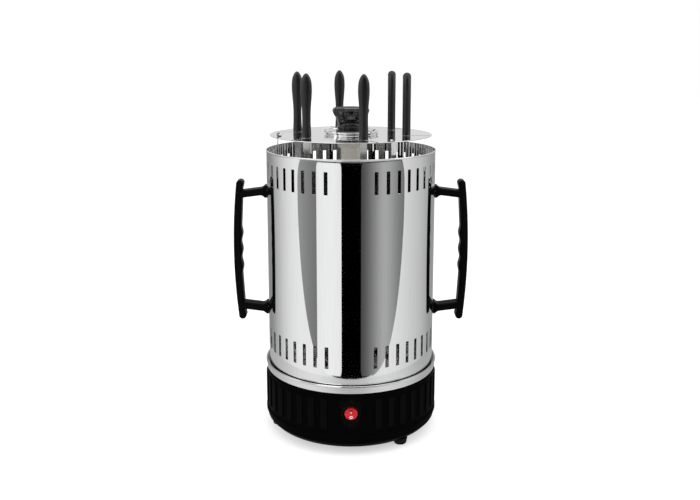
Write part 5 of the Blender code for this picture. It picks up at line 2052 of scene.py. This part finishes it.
@dataclass
class Studio:
    """The pale floor, the soft lights, the cards that the steel mirrors, and the camera.

    Args:
        card_radius: How far the cards stand from the grill's axis.
        opening_corner: The rounding of the front opening's upper corners.
        straight_from: The height from which its sides stand straight.
        side_bend: How late the sides start to close in below that height.
        side_root: How fast they close in at the foot.
        sheet: The inner and outer radius of the sheet that is mirrored in place of the floor.
        floor_size: The floor's side.
        floor_tone: How pale the floor is.
        floor_glow: How much it shines by itself.
        mirrored_room: The room's brightness in what is mirrored.
        lens: The camera's focal length in millimetres.
        shift: Its vertical shift, as a share of the picture's width.
        stand: Where it stands.
        down: How far it looks down, in degrees.
        yaw: How far it is turned about Z, in degrees.
    """

    card_radius: float = 0.336
    opening_corner: float = 0.034
    straight_from: float = 0.250
    side_bend: float = 1.6
    side_root: float = 0.27
    sheet: Point = (0.02, 0.9)
    floor_size: float = 12.0
    floor_tone: float = 0.62
    floor_glow: float = 0.5
    mirrored_room: float = 0.74
    lens: float = 43.59
    shift: float = -0.075
    stand: tuple[float, float, float] = (-0.0026, -1.0, 0.463)
    down: float = 10.33
    yaw: float = -0.09

    def build(self) -> None:
        """Makes everything that isn't part of the grill."""
        self.floor()
        self.surroundings()
        for card in CARDS:
            self.card(card)
        self.mirrored_floor()
        self.lights()
        self.camera()

    def floor(self) -> None:
        """Makes the pale floor, which the steel doesn't mirror."""
        half = self.floor_size / 2
        mesh = bpy.data.meshes.new("studio_floor")
        corners = [(-half, -half, 0), (half, -half, 0), (half, half, 0), (-half, half, 0)]
        mesh.from_pydata(corners, [], [(0, 1, 2, 3)])
        made = new_piece("studio_floor", mesh)
        pale = bpy.data.materials.new("studio_floor")
        pale.use_nodes = True
        shader = pale.node_tree.nodes["Principled BSDF"]
        shader.inputs["Base Color"].default_value = (self.floor_tone,) * 3 + (1,)
        shader.inputs["Roughness"].default_value = 0.9
        shader.inputs["Specular IOR Level"].default_value = 0.1
        shader.inputs["Emission Color"].default_value = (1, 1, 1, 1)
        shader.inputs["Emission Strength"].default_value = self.floor_glow
        mesh.materials.append(pale)
        made.visible_glossy = False

    def surroundings(self) -> None:
        """Makes the white room that lights the grill from everywhere and is mirrored darker."""
        world = bpy.data.worlds.new("white_room")
        world.use_nodes = True
        back = world.node_tree.nodes["Background"]
        back.inputs["Color"].default_value = (1, 1, 1, 1)
        path = world.node_tree.nodes.new("ShaderNodeLightPath")
        level = world.node_tree.nodes.new("ShaderNodeMapRange")
        level.inputs["To Min"].default_value = 1.0
        level.inputs["To Max"].default_value = self.mirrored_room
        world.node_tree.links.new(path.outputs["Is Glossy Ray"], level.inputs["Value"])
        world.node_tree.links.new(level.outputs[0], back.inputs["Strength"])
        bpy.context.scene.world = world
        bpy.context.scene.view_settings.view_transform = "Standard"

    def inset(self, corner: float, room: float) -> float:
        """Returns how far a rounded corner stands in, in degrees.

        Args:
            corner: The corner's radius.
            room: How far the height is from the nearest upper or lower edge.
        """
        if room >= corner:
            return 0.0
        gap = corner - max(room, 0.0)
        return math.degrees((corner - math.sqrt(corner**2 - gap**2)) / self.card_radius)

    def opening(self, height: float) -> float:
        """Returns how far the front opening reaches from its middle at a height, in degrees."""
        down = min(max((self.straight_from - height) / (self.straight_from + 0.004), 0.0), 1.0)
        half = OPENING_HALF * (1 - down**self.side_bend) ** self.side_root
        return half - self.inset(self.opening_corner, OPENING_TOP - height)

    def card(self, card: Card) -> None:
        """Makes one curved card.

        Args:
            card: Which one.
        """
        columns, rows = (32 if card.within else 72), 64
        radius = self.card_radius - card.near
        points, faces = [], []
        for i in range(columns + 1):
            for j in range(rows + 1):
                share = (1 - math.cos(math.pi * j / rows)) / 2
                height = card.foot + (card.top - card.foot) * share
                left, right = card.first, card.last
                if card.within:
                    edge = self.opening(height)
                    left, right = max(left, -edge), min(right, edge)
                    right = max(right, left + 0.01)
                cut = self.inset(card.corner, min(card.top - height, height - card.foot))
                cut = min(cut, (right - left) * 0.49)
                azimuth = left + cut + (right - left - 2 * cut) * i / columns
                points.append(polar(radius, azimuth, height))
        for i in range(columns):
            for j in range(rows):
                a = i * (rows + 1) + j
                faces.append((a, a + 1, a + rows + 2, a + rows + 1))
        self.hang(card, points, faces)

    def mirrored_floor(self) -> None:
        """Makes the sheet that the steel mirrors in place of the floor."""
        hub, rim = self.sheet
        azimuths = spread(LOW_SHEET.first, LOW_SHEET.last, 73)
        count = len(azimuths)
        points = [polar(radius, azimuth, LOW_SHEET.foot) for radius in (rim, hub) for azimuth in azimuths]
        faces = [(i, i + 1, i + count + 1, i + count) for i in range(count - 1)]
        self.hang(LOW_SHEET, points, faces)

    def hang(self, card: Card, points: Sequence[Vector], faces: Sequence[tuple[int, ...]]) -> None:
        """Makes a card of points and faces and hides it from all but mirrors.

        Args:
            card: Which card, for its name and shades.
            points: Its points.
            faces: Its faces, as places in those points.
        """
        mesh = bpy.data.meshes.new(card.name)
        mesh.from_pydata(points, [], faces)
        made = new_piece(f"card_{card.name}", mesh)
        mesh.materials.append(self.glow(card))
        for kind in ("camera", "diffuse", "transmission", "volume_scatter", "shadow"):
            setattr(made, f"visible_{kind}", False)

    def glow(self, card: Card) -> bpy.types.Material:
        """Returns a card's material, whose brightness changes from its left side to its right."""
        made = bpy.data.materials.new(card.name)
        made.use_nodes = True
        tree = made.node_tree
        tree.nodes.clear()
        out = tree.nodes.new("ShaderNodeOutputMaterial")
        light = tree.nodes.new("ShaderNodeEmission")
        place = tree.nodes.new("ShaderNodeTexCoord")
        split = tree.nodes.new("ShaderNodeSeparateXYZ")
        turn = tree.nodes.new("ShaderNodeMath")
        turn.operation = "ARCTAN2"
        away = tree.nodes.new("ShaderNodeMath")
        away.operation = "MULTIPLY"
        away.inputs[1].default_value = -1.0
        along = tree.nodes.new("ShaderNodeMapRange")
        along.inputs["From Min"].default_value = math.radians(card.first)
        along.inputs["From Max"].default_value = math.radians(card.last)
        shades = tree.nodes.new("ShaderNodeValToRGB")
        shades.color_ramp.interpolation = "B_SPLINE"
        stops = shades.color_ramp.elements
        last = len(card.shades) - 1
        while len(stops) <= last:
            stops.new(0.5)
        for i, shade_of in enumerate(card.shades):
            stops[i].position = i / last
            stops[i].color = (shade_of, shade_of * 1.004, shade_of * 1.012, 1)
        links = tree.links
        links.new(place.outputs["Object"], split.inputs[0])
        links.new(split.outputs[0], turn.inputs[0])
        links.new(split.outputs[1], away.inputs[0])
        links.new(away.outputs[0], turn.inputs[1])
        links.new(turn.outputs[0], along.inputs["Value"])
        links.new(along.outputs[0], shades.inputs[0])
        links.new(shades.outputs[0], light.inputs["Color"])
        links.new(light.outputs[0], out.inputs[0])
        return made

    def lights(self) -> None:
        """Hangs a large soft light over the grill and one on each side."""
        for name, place, size, power in (
            ("overhead", (0.0, -0.1, 1.7), 1.6, 9.0),
            ("left_side", (-1.5, -0.7, 1.0), 1.0, 5.0),
            ("right_side", (1.5, -0.5, 1.0), 1.0, 5.0),
        ):
            data = bpy.data.lights.new(name, "AREA")
            data.size = size
            data.energy = power
            made = bpy.data.objects.new(name, data)
            made.location = place
            aim = Vector((0, 0, 0.2)) - Vector(place)
            made.rotation_euler = aim.to_track_quat("-Z", "Y").to_euler()
            bpy.context.scene.collection.objects.link(made)

    def camera(self) -> None:
        """Sets the camera up in front and a little above."""
        data = bpy.data.cameras.new("camera")
        data.lens = self.lens
        data.sensor_width = 36.0
        data.shift_y = self.shift
        data.clip_start = 0.01
        made = bpy.data.objects.new("camera", data)
        made.location = self.stand
        made.rotation_euler = (math.radians(90 - self.down), 0.0, math.radians(self.yaw))
        bpy.context.scene.collection.objects.link(made)
        bpy.context.scene.camera = made


def main() -> None:
    """Builds the grill from the base up, then the studio round it."""
    logging.basicConfig(level=logging.INFO, format="%(name)s %(message)s")
    for part in (
        Base, Switch, Tray, Casing, Handles, TopPlate, Knob, Posts, Heater, DripCups, Skewers,
        HiddenWorks, Studio,
    ):
        part().build()


if __name__ == "__main__":
    main()
